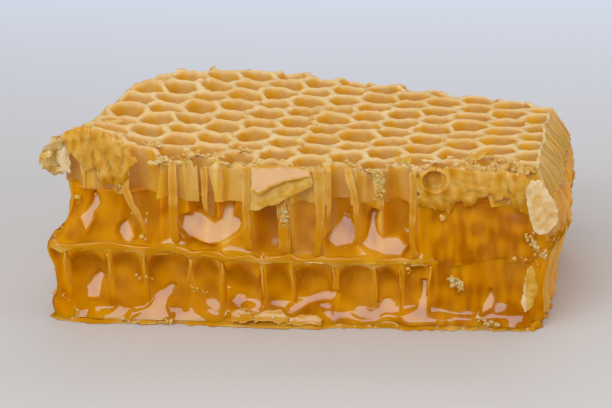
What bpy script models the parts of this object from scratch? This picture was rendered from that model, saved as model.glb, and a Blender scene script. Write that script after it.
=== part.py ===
"""A cut piece of honeycomb: a double-sided wax comb with honey in both layers of cells.

Frame: metres, +Z up, origin at the centre of the foot. The front cut faces -Y, the left cut faces -X.

From the foot up the piece has five layers, and each is one solid that runs right through it:
cappings_lower (the sheet that closes the lower cells), honey_lower, midrib (the wavy wax wall that both
layers of cells are built on), honey_upper, and cells_open (the empty, uncapped cell mouths).
Four torn scraps of wax hang on the cuts: wax_curl, torn_flap, corner_flake and foot_flake.

Every layer is first made straight, as a prism in nominal heights, with its cells cut out of it.
settle() then moves all its points the same way, which gives the piece its warped top, its sloping
midrib and its leaning, swollen sides, and keeps the gaps between the layers.
"""

import math

import bmesh
import bpy
import numpy as np

MM = 0.001

PLAN_MIDDLE = (-0.343 * MM, -0.265 * MM)  # the middle of the finished piece, in the plan's own coordinates

# The comb
CELL_PITCH = 5.3 * MM  # across flats, wall centre to wall centre
CELL_WALL = 0.5 * MM  # wall of an open cell below its rim
RIM_WIDTH = 1.1 * MM  # the thickened rim round a mouth
RIM_DEPTH = 0.9 * MM
RIM_SPREAD = (0.85, 1.15)  # the rims are this much thinner and thicker than RIM_WIDTH
CELL_ORIGIN = (23.7 * MM, 3.7 * MM)  # centre of one cell, with a column of cells running straight back
CELL_JITTER = 0.09 * MM
COLUMNS = range(-14, 5)  # columns and rows of cells, counted from that one, which cover the whole plan
ROWS = range(-9, 8)
BIG_CELL = (-24.5 * MM, -3.0 * MM)  # one cell near the left side is wider at its mouth
BIG_CELL_GROWTH = 1.1
THIN_WALL = 0.3 * MM
HOLLOW_RADIUS = 2.0 * MM  # the honey's own hollows in the cells that a cut opened
HOLLOW_CENTRES = (-0.8 * MM, 0.4 * MM)  # how far inside the cut their middles may lie
HOLLOW_SPREAD = (0.94, 1.04)
HOLLOW_SPACING = 2.2 * HOLLOW_RADIUS  # no two of them lie closer than this
HOLLOW_SHAPE = ((0.9, 0.0), (1.0, 0.65), (0.45, 1.0))  # share of the radius, share of the way to the arch
CUT_REACH = 0.46 * CELL_PITCH  # a cut opens the cells whose centres lie nearer to it than this
OVERSHOOT = 1.0 * MM  # how far a cutter runs past the open side of its layer
ARCH_INSET = 0.5 * MM  # and how far it stops before the closed side

# The plan: four cuts between four corners, each bowed outwards
FRONT_LEFT = (-31.0 * MM, -24.0 * MM)
FRONT_RIGHT = (30.2 * MM, -24.0 * MM)
BACK_RIGHT = (29.0 * MM, 15.6 * MM)
BACK_LEFT = (-28.0 * MM, 14.0 * MM)
FRONT_BOW = 0.2 * MM
RIGHT_BOW = -0.4 * MM
BACK_BOW = 11.0 * MM
LEFT_BOW = 1.5 * MM
BACK_SKEW = 0.75  # below 1 the back bow is fullest towards the left
CORNER_CUT = 0.02  # share of a side taken off at each corner

# Nominal heights of the layers, before settle()
GAP = 0.3 * MM
CAPPINGS_TOP = 0.9 * MM
LOWER_TOP = 8.5 * MM
MIDRIB_TOP = 9.6 * MM
HONEY_LEVEL = 16.2 * MM
RIM_TOP = 20.6 * MM

# The settled shape
MIDRIB_MIDDLE = 0.5 * (LOWER_TOP + GAP + MIDRIB_TOP)
MIDRIB_FALL = 0.95 * MM  # the midrib falls by twice this from the left to the middle
MIDRIB_RISE = 0.9 * MM  # and rises by twice this again towards the right
RIM_LEFT_RISE = 2.2 * MM
RIM_BACK_RISE = 4.7 * MM
RIM_BACK_FALL = 0.5 * MM
CORNER_RISE = 3.0 * MM  # the front left corner of the top stands up
CORNER_REACH = 9.0 * MM
LEVEL_SHARE = 0.4  # how far the honey level follows the rims

# How far each side leans out at a height: (height, distance). The lean starts a way inside the side.
LEAN_START_X = 8.0 * MM
LEAN_END_X = 30.0 * MM
LEAN_FRONT = (-8.0 * MM, -24.0 * MM)
LEAN_BACK = (4.0 * MM, 22.0 * MM)
SWELL_LEAST = 0.3  # the right side swells least at the front corner, and fully this far behind it
SWELL_REACH = 12.6 * MM
LEFT_LEAN = ((0.0, 1.8), (9.5, 2.7), (15.5, 0.3), (25.0, -0.2))
RIGHT_LEAN = ((0.0, 1.2), (7.0, 3.5), (13.5, 4.9), (17.5, 3.4), (21.0, 0.4))
FRONT_LEAN = ((0.0, 0.7), (2.0, 0.2), (9.0, 0.5), (14.0, 0.0), (25.0, 0.1))
BACK_LEAN = ((0.0, 0.2), (9.0, 0.9), (21.0, 0.0))

# Where the knife smeared the front cut, its cells stay closed. On the left only the upper ones are.
SMEARED_LEFT = -22.5 * MM
SMEARED_RIGHT = 16.5 * MM
SMEARED_ROW = 0.75 * CELL_PITCH  # centres this near to the front cut belong to the smeared row
SMEARED_PIT_DEPTH = 2.4 * MM  # and their mouths are small, shallow pits
SMALLEST_PIT = 0.8 * MM

# The torn leaves, in mm: a plan path past the cut, their lower and upper edges along it, and a thickness
TORN_FLAP = (
    ((-6.4, -24.6), (-4.6, -24.9), (-2.6, -24.8), (-0.6, -25.0), (1.6, -24.8)),
    (15.6, 15.9, 17.2, 17.9, 18.6),
    (20.6, 20.5, 20.7, 20.4, 20.6),
    0.35 * MM,
)
CORNER_FLAKE = (
    ((28.4, -24.8), (30.0, -24.9), (31.5, -24.2), (32.9, -22.5), (33.7, -20.6)),
    (17.5, 14.2, 12.6, 13.0, 14.8),
    (19.6, 19.8, 19.2, 18.0, 16.2),
    0.35 * MM,
)
FOOT_FLAKE = (
    ((28.6, -25.3), (29.3, -25.5), (30.1, -25.4), (30.8, -25.1)),
    (5.2, 2.6, 2.8, 4.6),
    (6.4, 8.2, 8.6, 7.4),
    0.4 * MM,
)

# Where the layers bend: along a square grid of this step, the top layer along a wider one
BEND_STEP = 7.2 * MM
TOP_STEP = 24.0 * MM
BEND_REACH = (36.0 * MM, 30.0 * MM)

# The cappings' torn edge at the foot, widest in the middle of the front
TORN_SPREAD = 0.35  # in mm
TORN_MIDDLE = (-3.0 * MM, 7.0 * MM)  # its middle and its reach
TORN_BULGE = 2.2 * MM
TORN_LIMIT = 2.6 * MM

MIDRIB_PROUD = 0.1 * MM  # the cut edge of the midrib stands this far out, and waves
MIDRIB_RIPPLE = 0.25 * MM
RIPPLE_STEP = 2.1  # radians from one point of the outline to the next
HONEY_INSET = 0.1 * MM

# The ribbon of wax that loops out from the front left corner, from its end at the top round to the foot
CURL_MIDDLE = (-32.3 * MM, -22.4 * MM, 21.6 * MM)
CURL_REACH = (2.0 * MM, 0.0, 2.4 * MM)
CURL_TURN = (75.0, 290.0)  # degrees
CURL_STEPS = 12
CURL_HALF_WIDTH = 0.7 * MM
CURL_HALF_THICKNESS = 0.3 * MM

SEED = 11


def noise(seed):
    return np.random.default_rng(seed)


# --- The plan ---------------------------------------------------------------------------------------


def bowed_side(start, end, bow, count, skew=1.0):
    """Points from start to end, bowed to the right of the way by a rounded-off parabola."""
    share = np.linspace(CORNER_CUT, 1.0 - CORNER_CUT, count)
    start, end = np.array(start), np.array(end)
    along = end - start
    outward = np.array([along[1], -along[0]]) / np.hypot(*along)
    hump = 1.0 - np.abs(2.0 * share**skew - 1.0) ** 2.4
    return start + share[:, None] * along + (bow * hump)[:, None] * outward


def outline(per_side=14, grow=0.0):
    """The plan of the piece, counter-clockwise from the front left corner, grown by a margin."""
    back = bowed_side(BACK_LEFT, BACK_RIGHT, -BACK_BOW, per_side, BACK_SKEW)[::-1]
    sides = (
        bowed_side(FRONT_LEFT, FRONT_RIGHT, FRONT_BOW, per_side),
        bowed_side(FRONT_RIGHT, BACK_RIGHT, RIGHT_BOW, per_side),
        back,
        bowed_side(BACK_LEFT, FRONT_LEFT, LEFT_BOW, per_side),
    )
    points = np.concatenate(sides)
    return points + grow * outward_normals(points)


def outward_normals(points):
    """Unit normals of a counter-clockwise ring of plan points."""
    along = np.roll(points, -1, axis=0) - np.roll(points, 1, axis=0)
    normals = np.stack([along[:, 1], -along[:, 0]], axis=1)
    return normals / np.linalg.norm(normals, axis=1, keepdims=True)


def nearest_on(ring, places):
    """The point of the ring's outline that lies nearest to each plan place."""
    along = np.roll(ring, -1, axis=0) - ring
    to_place = places[:, None, :] - ring[None]
    share = np.clip((to_place * along).sum(2) / (along**2).sum(1), 0.0, 1.0)
    on_sides = ring[None] + share[:, :, None] * along
    nearest_side = np.linalg.norm(places[:, None, :] - on_sides, axis=2).argmin(axis=1)
    return on_sides[np.arange(len(places)), nearest_side]


def depth_inside(places, ring):
    """How far each plan place lies inside the ring, negative outside it.

    A place is inside if a line from it to the left crosses the ring an odd number of times."""
    along = np.roll(ring, -1, axis=0) - ring
    starts_below = ring[:, 1] > places[:, None, 1]
    ends_below = np.roll(ring[:, 1], -1)[None] > places[:, None, 1]
    rise = np.where(along[:, 1] == 0.0, 1.0, along[:, 1])
    cross_x = ring[:, 0] + (places[:, None, 1] - ring[:, 1]) * along[:, 0] / rise
    crossings = ((starts_below != ends_below) & (places[:, None, 0] < cross_x)).sum(1)
    distance = np.linalg.norm(places - nearest_on(ring, places), axis=1)
    return np.where(crossings % 2 == 1, 1.0, -1.0) * distance


# --- The settled shape ------------------------------------------------------------------------------


def rim_height(x, y):
    """Height of the cell rims: rising to the left and the back, with a lifted front left corner."""
    to_left = np.clip((FRONT_RIGHT[0] - x) / (62.0 * MM), 0.0, 1.1)
    to_back = (y - FRONT_LEFT[1]) / (48.0 * MM)
    corner = np.hypot(x - FRONT_LEFT[0], y - FRONT_LEFT[1]) / CORNER_REACH
    slope = RIM_LEFT_RISE * to_left**3 + to_back * (RIM_BACK_RISE * to_left**1.5 - RIM_BACK_FALL)
    return RIM_TOP + slope + CORNER_RISE * np.exp(-(corner**2))


def midrib_height(x, y):
    """Height of the middle of the midrib: an S-shaped fall, an S-shaped rise, and a slow wave."""
    fall = -MIDRIB_FALL * np.tanh((x + 12.0 * MM) / (5.5 * MM))
    rise = MIDRIB_RISE * (1.0 + np.tanh((x - 18.0 * MM) / (8.0 * MM)))
    wave = 0.2 * MM * np.sin(y / (5.0 * MM)) * np.cos(x / (7.0 * MM))
    return MIDRIB_MIDDLE + fall + rise + wave


def way_between(value, start, end):
    """0 at the start, 1 at the end, and even in between."""
    return np.clip((value - start) / (end - start), 0.0, 1.0)


def lean(z, table):
    heights, distances = np.array(table).T * MM
    return np.interp(z, heights, distances)


def settle(points):
    """Moves nominal points to the real shape: first up or down with the layers, then out with the sides."""
    x, y, z = points.T
    rim = rim_height(x, y) - RIM_TOP
    middle = midrib_height(x, y) - MIDRIB_MIDDLE
    lower = middle * np.clip(z / MIDRIB_MIDDLE, 0.0, 1.0)
    upper = np.clip((z - MIDRIB_MIDDLE) / (HONEY_LEVEL - MIDRIB_MIDDLE), 0.0, 1.0)
    top = np.clip((z - HONEY_LEVEL) / (RIM_TOP - HONEY_LEVEL), 0.0, None)
    up = lower * (1.0 - upper) + LEVEL_SHARE * rim * upper + (1.0 - LEVEL_SHARE) * rim * top
    z = z + up
    left = way_between(-x, LEAN_START_X, LEAN_END_X) ** 2
    right = way_between(x, LEAN_START_X, LEAN_END_X) ** 2
    front = way_between(y, *LEAN_FRONT) ** 2
    back = way_between(y, *LEAN_BACK) ** 2
    swell = SWELL_LEAST + (1.0 - SWELL_LEAST) * way_between(y, FRONT_RIGHT[1], FRONT_RIGHT[1] + SWELL_REACH)
    x = x + right * swell * lean(z, RIGHT_LEAN) - left * lean(z, LEFT_LEAN)
    y = y + back * lean(z, BACK_LEAN) - front * lean(z, FRONT_LEAN)
    return np.stack([x, y, z], axis=1)


# --- Meshes -----------------------------------------------------------------------------------------


def material(name, color, roughness, metallic=0.0):
    made = bpy.data.materials.new(name)
    made.use_nodes = True
    shader = made.node_tree.nodes["Principled BSDF"]
    shader.inputs["Base Color"].default_value = (*color, 1.0)
    shader.inputs["Roughness"].default_value = roughness
    shader.inputs["Metallic"].default_value = metallic
    return made


def new_object(name, mesh, finish=None):
    made = bpy.data.objects.new(name, mesh)
    bpy.context.collection.objects.link(made)
    mesh.materials.clear()
    if finish is not None:
        mesh.materials.append(finish)
    return made


def ring_stack(rings):
    """A closed mesh from equal rings of points, listed upwards and joined by quads, with flat ends."""
    rings = np.array(rings)
    levels, count = rings.shape[:2]
    faces = []
    for level in range(levels - 1):
        low, high = level * count, (level + 1) * count
        for i in range(count):
            j = (i + 1) % count
            faces.append((low + i, low + j, high + j, high + i))
    faces.append(tuple(range(count))[::-1])
    faces.append(tuple(range((levels - 1) * count, levels * count)))
    return rings.reshape(-1, 3), faces


def mesh_of(name, shapes):
    """One mesh of several closed shapes, each given as its points and its faces."""
    points, faces, offset = [], [], 0
    for shape_points, shape_faces in shapes:
        points.extend(map(tuple, shape_points))
        faces.extend(tuple(offset + i for i in face) for face in shape_faces)
        offset += len(shape_points)
    mesh = bpy.data.meshes.new(name)
    mesh.from_pydata(points, [], faces)
    return mesh


def prism(ring, heights):
    """An upright prism of one plan ring, with a level at each height."""
    return ring_stack([np.column_stack([ring, np.full(len(ring), height)]) for height in heights])


def cut_away(name, block, cutter):
    """The mesh that is left of the block once the cutter's shapes are taken away."""
    body = new_object(name, block)
    tool = new_object(name + "_cutter", cutter)
    tool.display_type = "WIRE"
    tool.hide_render = True
    boolean = body.modifiers.new("cells", "BOOLEAN")
    boolean.operation = "DIFFERENCE"
    boolean.solver = "EXACT"
    boolean.object = tool
    left = bpy.data.meshes.new_from_object(body.evaluated_get(bpy.context.evaluated_depsgraph_get()))
    bpy.data.objects.remove(body)
    bpy.data.objects.remove(tool)
    return left


def largest_piece(mesh):
    """Drops the slivers that a cut set free, and keeps the one big body as clean triangles."""
    bm = bmesh.new()
    bm.from_mesh(mesh)
    bmesh.ops.remove_doubles(bm, verts=bm.verts, dist=0.02 * MM)
    bmesh.ops.dissolve_degenerate(bm, edges=bm.edges, dist=0.01 * MM)
    bmesh.ops.triangulate(bm, faces=bm.faces)
    seen, best = set(), []
    for start in bm.faces:
        if start in seen:
            continue
        island, edge_of_island = [], [start]
        seen.add(start)
        while edge_of_island:
            face = edge_of_island.pop()
            island.append(face)
            for edge in face.edges:
                for other in edge.link_faces:
                    if other not in seen:
                        seen.add(other)
                        edge_of_island.append(other)
        if len(island) > len(best):
            best = island
    keep = set(best)
    bmesh.ops.delete(bm, geom=[face for face in bm.faces if face not in keep], context="FACES")
    bmesh.ops.recalc_face_normals(bm, faces=bm.faces)
    bm.to_mesh(mesh)
    bm.free()
    return mesh


def gridded(mesh, step=BEND_STEP):
    """Divides a layer along upright planes, so that both faces of a gap bend in the same places."""
    bm = bmesh.new()
    bm.from_mesh(mesh)
    for axis, reach in enumerate(BEND_REACH):
        for place in np.arange(step - reach, reach, step):
            plane_point, plane_normal = [0.0, 0.0, 0.0], [0.0, 0.0, 0.0]
            plane_point[axis], plane_normal[axis] = place, 1.0
            geometry = bm.verts[:] + bm.edges[:] + bm.faces[:]
            bmesh.ops.bisect_plane(bm, geom=geometry, plane_co=plane_point, plane_no=plane_normal)
    bm.to_mesh(mesh)
    bm.free()
    return mesh


def moved(mesh, rule):
    """The mesh with all its points, as an array of rows, moved by a rule."""
    points = np.empty(len(mesh.vertices) * 3)
    mesh.vertices.foreach_get("co", points)
    mesh.vertices.foreach_set("co", rule(points.reshape(-1, 3)).ravel())
    mesh.update()
    return mesh


def add_part(name, mesh, finish):
    """Adds a finished sub-part, with the plan's middle brought to the origin."""
    clean = largest_piece(mesh)
    new_object(name, moved(clean, lambda points: points - np.array((*PLAN_MIDDLE, 0.0))), finish)


def add_layer(name, mesh, finish):
    add_part(name, moved(mesh, settle), finish)


# --- The cells --------------------------------------------------------------------------------------


def cell_centres(shift_x=0.0):
    """Centres of a hexagonal lattice over the whole plan, in columns that run straight back."""
    column_step = CELL_PITCH * math.cos(math.radians(30.0))
    places = []
    for column in COLUMNS:
        for row in ROWS:
            x = CELL_ORIGIN[0] + shift_x + column * column_step
            y = CELL_ORIGIN[1] + (row + 0.5 * (column % 2)) * CELL_PITCH
            places.append((x, y))
    return np.array(places)


def regular_ring(centre, radius, sides):
    angles = np.arange(sides) * 2.0 * math.pi / sides
    return np.column_stack([centre[0] + radius * np.cos(angles), centre[1] + radius * np.sin(angles)])


def smeared(places, left_limit=SMEARED_LEFT):
    """Which places lie on the parts of the front cut that the knife smeared shut."""
    near_front = places[:, 1] < FRONT_LEFT[1] + SMEARED_ROW
    return near_front & ((places[:, 0] < left_limit) | (places[:, 0] > SMEARED_RIGHT))


def corner_radius(across_flats):
    return 0.5 * across_flats / math.cos(math.radians(30.0))


def well_shape(place, levels):
    """A hexagonal well round a place, drawn through rings of (height, radius)."""
    return ring_stack([
        np.column_stack([regular_ring(place, radius, 6), np.full(6, height)]) for height, radius in levels
    ])


def open_cell_cutter():
    """Hexagonal wells through the top layer, each drawn in at its rim. Those on a cut stand open."""
    places = cell_centres()
    inside = depth_inside(places, outline())
    random = noise(SEED)
    wells = []
    for place, margin in zip(places, inside):
        nudge = random.uniform(-CELL_JITTER, CELL_JITTER, 2)
        rim = RIM_WIDTH * random.uniform(*RIM_SPREAD)
        well, mouth = corner_radius(CELL_PITCH - CELL_WALL), corner_radius(CELL_PITCH - rim)
        floor = HONEY_LEVEL - OVERSHOOT
        if margin < -CUT_REACH + 2.0 * THIN_WALL:
            continue
        if smeared(place[None])[0]:
            if margin < SMALLEST_PIT + THIN_WALL:
                continue
            well = mouth = min(mouth, margin - THIN_WALL)
            floor = RIM_TOP - SMEARED_PIT_DEPTH
        elif CUT_REACH < margin < 0.5 * CELL_PITCH + THIN_WALL:
            well = mouth = margin - THIN_WALL
        if np.hypot(*(place - BIG_CELL)) < 0.5 * CELL_PITCH:
            mouth *= BIG_CELL_GROWTH
        shoulder, top = RIM_TOP - RIM_DEPTH, RIM_TOP + 0.02 * MM
        levels = ((floor, well), (shoulder, well), (top, mouth), (RIM_TOP + OVERSHOOT, mouth))
        wells.append(well_shape(place + nudge, levels))
    return mesh_of("wells", wells)


def channel_cutter(low, high, shift_x, from_below, seed):
    """Hollows along the cuts, where honey has sunk back between the cut walls of its cells.

    Each is open at its cells' mouths, above or below, and arched where the cells start at the midrib."""
    places, ring = cell_centres(shift_x), outline()
    inside = depth_inside(places, ring)
    left_limit = 2.0 * FRONT_LEFT[0] if from_below else SMEARED_LEFT
    picked = (np.abs(inside) < CUT_REACH) & ~smeared(places, left_limit)
    on_cut = nearest_on(ring, places)
    random = noise(seed)
    hollows, taken = [], []
    for place, edge, margin in zip(places[picked], on_cut[picked], inside[picked]):
        if any(np.hypot(*(edge - other)) < HOLLOW_SPACING for other in taken):
            continue
        taken.append(edge)
        centre = edge + (place - edge) * np.clip(margin, *HOLLOW_CENTRES) / margin
        radius = HOLLOW_RADIUS * random.uniform(*HOLLOW_SPREAD)
        into = 1.0 if from_below else -1.0
        mouth, arch = (low, high) if from_below else (high, low)
        mouth, arch = mouth - into * OVERSHOOT, arch - into * ARCH_INSET
        levels = sorted((mouth + way * (arch - mouth), share * radius) for share, way in HOLLOW_SHAPE)
        hollows.append(well_shape(centre, levels))
    return mesh_of("hollows", hollows)


# --- The layers -------------------------------------------------------------------------------------


def make_cappings(finish):
    """The sheet under the piece: flat below, with a torn edge that sticks out at the foot."""
    ring = outline(15)
    random = noise(SEED + 1)
    torn = np.abs(random.normal(0.0, TORN_SPREAD, len(ring))) * MM
    middle, reach = TORN_MIDDLE
    middle_of_front = np.exp(-(((ring[:, 0] - middle) / reach) ** 2)) * (ring[:, 1] < FRONT_LEFT[1] + MM)
    torn = np.minimum(torn + TORN_BULGE * middle_of_front, TORN_LIMIT)
    ring = ring + torn[:, None] * outward_normals(ring)
    inner = outline(15, grow=-2.0 * HONEY_INSET)
    foot = np.column_stack([ring, np.zeros(len(ring))])
    edge = np.column_stack([ring, np.full(len(ring), 0.5 * CAPPINGS_TOP)])
    top = np.column_stack([inner, np.full(len(ring), CAPPINGS_TOP)])
    mesh = mesh_of("cappings_lower", [ring_stack([foot, edge, top])])
    add_layer("cappings_lower", mesh, finish)


def make_honey(name, low, high, shift_x, from_below, seed, finish):
    """A layer of filled cells: honey that shows at every cut, sunk in between the cell walls."""
    block = mesh_of(name, [prism(outline(11, grow=-HONEY_INSET), (low, 0.35 * low + 0.65 * high, high))])
    cutter = channel_cutter(low, high, shift_x, from_below, seed)
    add_layer(name, cut_away(name, gridded(block), cutter), finish)


def make_midrib(finish):
    """The wax wall between the layers, with its cut edge standing a little proud of the honey."""
    low, high = LOWER_TOP + GAP, MIDRIB_TOP
    ring = outline(15, grow=MIDRIB_PROUD)
    wave = MIDRIB_RIPPLE * np.sin(np.arange(len(ring)) * RIPPLE_STEP)
    ring = ring + wave[:, None] * outward_normals(ring)
    mesh = mesh_of("midrib", [prism(ring, (low, high))])
    add_layer("midrib", gridded(mesh), finish)


def make_open_cells(finish):
    """The empty mouths of the upper cells, from the honey up to their thick rims."""
    block = mesh_of("cells_open", [prism(outline(13), (HONEY_LEVEL + GAP, RIM_TOP))])
    mesh = cut_away("cells_open", gridded(block, TOP_STEP), open_cell_cutter())
    add_layer("cells_open", mesh, finish)


# --- The torn scraps --------------------------------------------------------------------------------


def torn_leaf(path, low, high, thickness):
    """A thin upright leaf along a plan path, from a low to a high edge that both run ragged.

    Its outer face lies on the path's right, and its inner face is one thickness to the left."""
    path = np.array(path) * MM
    along = np.gradient(path, axis=0)
    inward = np.stack([-along[:, 1], along[:, 0]], axis=1) / np.linalg.norm(along, axis=1, keepdims=True)
    inner = path + thickness * inward
    return ring_stack([
        [(*outer_place, bottom), (*inner_place, bottom), (*inner_place, top), (*outer_place, top)]
        for outer_place, inner_place, bottom, top in zip(path, inner, np.array(low) * MM, np.array(high) * MM)
    ])


def make_torn_leaf(name, finish, *shape):
    add_part(name, mesh_of(name, [torn_leaf(*shape)]), finish)


def make_wax_curl(finish):
    """A ribbon of torn wax that loops out from the front left corner and back in."""
    rings = []
    for angle in np.radians(np.linspace(*CURL_TURN, CURL_STEPS)):
        outward = np.array([math.cos(angle), 0.0, math.sin(angle)])
        place = np.array(CURL_MIDDLE) + np.array(CURL_REACH) * outward
        wide = np.array([0.0, CURL_HALF_WIDTH * (1.0 + 0.3 * math.sin(3.0 * angle)), 0.0])
        thick = CURL_HALF_THICKNESS * outward
        rings.append([place - wide - thick, place + wide - thick, place + wide + thick, place - wide + thick])
    mesh = mesh_of("wax_curl", [ring_stack(rings)])
    add_part("wax_curl", mesh, finish)


def main():
    for old in list(bpy.data.objects):
        bpy.data.objects.remove(old)

    dry_wax = material("dry_wax", (0.63, 0.34, 0.09), 0.45)
    honey_finish = material("honey", (0.44, 0.15, 0.005), 0.08)
    wet_wax = material("wet_wax", (0.55, 0.25, 0.03), 0.25)
    scrap_wax = material("scrap_wax", (0.66, 0.42, 0.16), 0.3)

    make_cappings(wet_wax)
    half_cell = corner_radius(CELL_PITCH)
    make_honey("honey_lower", CAPPINGS_TOP + GAP, LOWER_TOP, half_cell, True, SEED + 2, honey_finish)
    make_midrib(wet_wax)
    make_honey("honey_upper", MIDRIB_TOP + GAP, HONEY_LEVEL, 0.0, False, SEED + 3, honey_finish)
    make_open_cells(dry_wax)
    make_wax_curl(scrap_wax)
    make_torn_leaf("torn_flap", scrap_wax, *TORN_FLAP)
    make_torn_leaf("corner_flake", scrap_wax, *CORNER_FLAKE)
    make_torn_leaf("foot_flake", scrap_wax, *FOOT_FLAKE)


main()
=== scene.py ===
"""The looks of a cut piece of honeycomb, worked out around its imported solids."""

import math

import bmesh
import bpy
import numpy as np
from mathutils import Matrix, Vector


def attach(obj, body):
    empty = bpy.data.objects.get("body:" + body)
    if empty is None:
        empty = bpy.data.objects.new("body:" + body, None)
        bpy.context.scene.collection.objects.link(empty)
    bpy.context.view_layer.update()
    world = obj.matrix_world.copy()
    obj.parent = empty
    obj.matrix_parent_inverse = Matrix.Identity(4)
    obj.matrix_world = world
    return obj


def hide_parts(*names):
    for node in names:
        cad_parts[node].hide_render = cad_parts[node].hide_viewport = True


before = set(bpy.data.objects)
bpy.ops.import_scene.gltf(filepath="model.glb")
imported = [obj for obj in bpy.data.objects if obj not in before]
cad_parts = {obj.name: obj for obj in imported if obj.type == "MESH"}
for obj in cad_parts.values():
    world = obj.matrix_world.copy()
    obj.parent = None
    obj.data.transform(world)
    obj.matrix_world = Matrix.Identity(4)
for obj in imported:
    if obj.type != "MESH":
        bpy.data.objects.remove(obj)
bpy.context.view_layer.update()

# Sizes of the piece are in millimetres on its plan, and piece() turns them into metres.
MM = 0.001
PLAN_MIDDLE = np.array([-0.343, -0.265])  # settle() moves this place to the origin

# The comb, as the solids have it
PITCH = 5.3
CELL_ORIGIN = (23.7, 3.7)
COLUMNS = range(-14, 5)
ROWS = range(-9, 8)
LOWER_SHIFT = 0.5 * PITCH / math.cos(math.radians(30.0))
FRONT_LEFT = (-31.0, -24.0)
FRONT_RIGHT = (30.2, -24.0)
BACK_RIGHT = (29.0, 15.6)
BACK_LEFT = (-28.0, 14.0)
FRONT_BOW, RIGHT_BOW, BACK_BOW, LEFT_BOW = 0.2, -0.4, 11.0, 1.5
BACK_SKEW = 0.75
CORNER_CUT = 0.02
CAPPINGS_TOP = 0.9
LOWER_TOP = 8.5
GAP = 0.3
MIDRIB_TOP = 9.6
MIDRIB_MIDDLE = 0.5 * (LOWER_TOP + GAP + MIDRIB_TOP)
HONEY_LEVEL = 16.2
RIM_TOP = 20.6
SMEARED_LEFT, SMEARED_RIGHT = -22.5, 16.5

# The settled shape, as the solids have it
MIDRIB_FALL, MIDRIB_RISE = 0.95, 0.9
RIM_LEFT_RISE, RIM_BACK_RISE, RIM_BACK_FALL = 2.2, 4.7, 0.5
CORNER_RISE, CORNER_REACH = 3.0, 9.0
LEVEL_SHARE = 0.4
LEFT_LEAN = ((0.0, 1.8), (9.5, 2.7), (15.5, 0.3), (25.0, -0.2))
RIGHT_LEAN = ((0.0, 1.2), (7.0, 3.5), (13.5, 4.9), (17.5, 3.4), (21.0, 0.4))
FRONT_LEAN = ((0.0, 0.7), (2.0, 0.2), (9.0, 0.5), (14.0, 0.0), (25.0, 0.1))
BACK_LEAN = ((0.0, 0.2), (9.0, 0.9), (21.0, 0.0))

# Where the cell walls meet the front cut: the even lattice's places first, and then the places that the
# knife left them in
UPPER_WALLS = (
    (-24.57, -19.83, -15.39, -10.65, -6.21, -1.47, 2.97, 7.71, 12.15, 16.89),
    (-23.3, -18.0, -14.4, -10.5, -6.1, -1.4, 3.2, 7.3, 10.6, 14.9),
)
LOWER_WALLS = (
    (-25.95, -21.5, -16.77, -12.33, -7.59, -3.15, 1.59, 6.03, 10.77, 15.21, 19.95),
    (-24.05, -19.82, -14.31, -10.31, -4.85, -0.98, 4.49, 9.8, 13.0, 16.36, 19.7),
)
DRAG_REACH = 4.0  # how far behind the cut the walls are dragged along with it

STEP = 0.15  # along the cuts
READ_STEP, READ_REACH = 0.07, 5.0  # inwards from the cuts, to find the next wall
WIDEST_CUT_WALL = 2.2  # a stretch of wall longer than this runs along the cut
ON_FRONT = -0.8  # where the y of the outward normal is below this, the path is on the front cut
CAP_MIDDLE = np.array([-1.0, -2.0])  # where the caps of the closed bodies draw together
CAP_SHARE = 0.001  # how near to it they come
COVERED_REACH = 0.9  # how far the upper honey hangs down, and the midrib stands in, where honey covers it


# --- Plan and settling ---


def wander(points, size, seed, waves=16):
    """A smooth field with a spread of about 1: the sum of sine waves of about this length, in random
    directions and phases, over the square root of half their number."""
    random = np.random.default_rng(seed)
    directions = random.normal(size=(waves, points.shape[-1]))
    directions /= np.linalg.norm(directions, axis=1, keepdims=True)
    directions *= (2.0 * np.pi / size * random.uniform(0.6, 1.5, waves))[:, None]
    phases = random.uniform(0.0, 2.0 * np.pi, waves)
    total = np.zeros(points.shape[:-1])
    for direction, phase in zip(directions, phases):
        total += np.sin(points @ direction + phase)
    return total * math.sqrt(2.0 / waves)


def way_between(value, start, end):
    """The share of the way from start to end, kept between 0 and 1."""
    return np.clip((value - start) / (end - start), 0.0, 1.0)


def soft_step(value, start, end):
    """0 before the start, 1 after the end, and the cubic 3s2 - 2s3 of the share of the way in between."""
    share = way_between(value, start, end)
    return share * share * (3.0 - 2.0 * share)


def bell(value, width):
    """The bell curve exp(-(value / width)^2)."""
    return np.exp(-((value / width) ** 2))


def bowed_side(start, end, bow, count, skew=1.0):
    """Points from start to end, bowed to the right of the way by a rounded-off parabola."""
    share = np.linspace(CORNER_CUT, 1.0 - CORNER_CUT, count)
    start, end = np.array(start), np.array(end)
    along = end - start
    outward = np.array([along[1], -along[0]]) / np.hypot(*along)
    hump = 1.0 - np.abs(2.0 * share**skew - 1.0) ** 2.4
    return start + share[:, None] * along + (bow * hump)[:, None] * outward


def outline(per_side):
    """The closed outline of the plan, with this many points to each of its four sides."""
    back = bowed_side(BACK_LEFT, BACK_RIGHT, -BACK_BOW, per_side, BACK_SKEW)[::-1]
    return np.concatenate((
        bowed_side(FRONT_LEFT, FRONT_RIGHT, FRONT_BOW, per_side),
        bowed_side(FRONT_RIGHT, BACK_RIGHT, RIGHT_BOW, per_side),
        back,
        bowed_side(BACK_LEFT, FRONT_LEFT, LEFT_BOW, per_side),
    ))


def outward_normals(points):
    """For a closed run of points: the way to the next but one, turned a quarter outwards, at length 1."""
    along = np.roll(points, -1, axis=0) - np.roll(points, 1, axis=0)
    normals = np.stack([along[:, 1], -along[:, 0]], axis=1)
    return normals / np.linalg.norm(normals, axis=1, keepdims=True)


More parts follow.
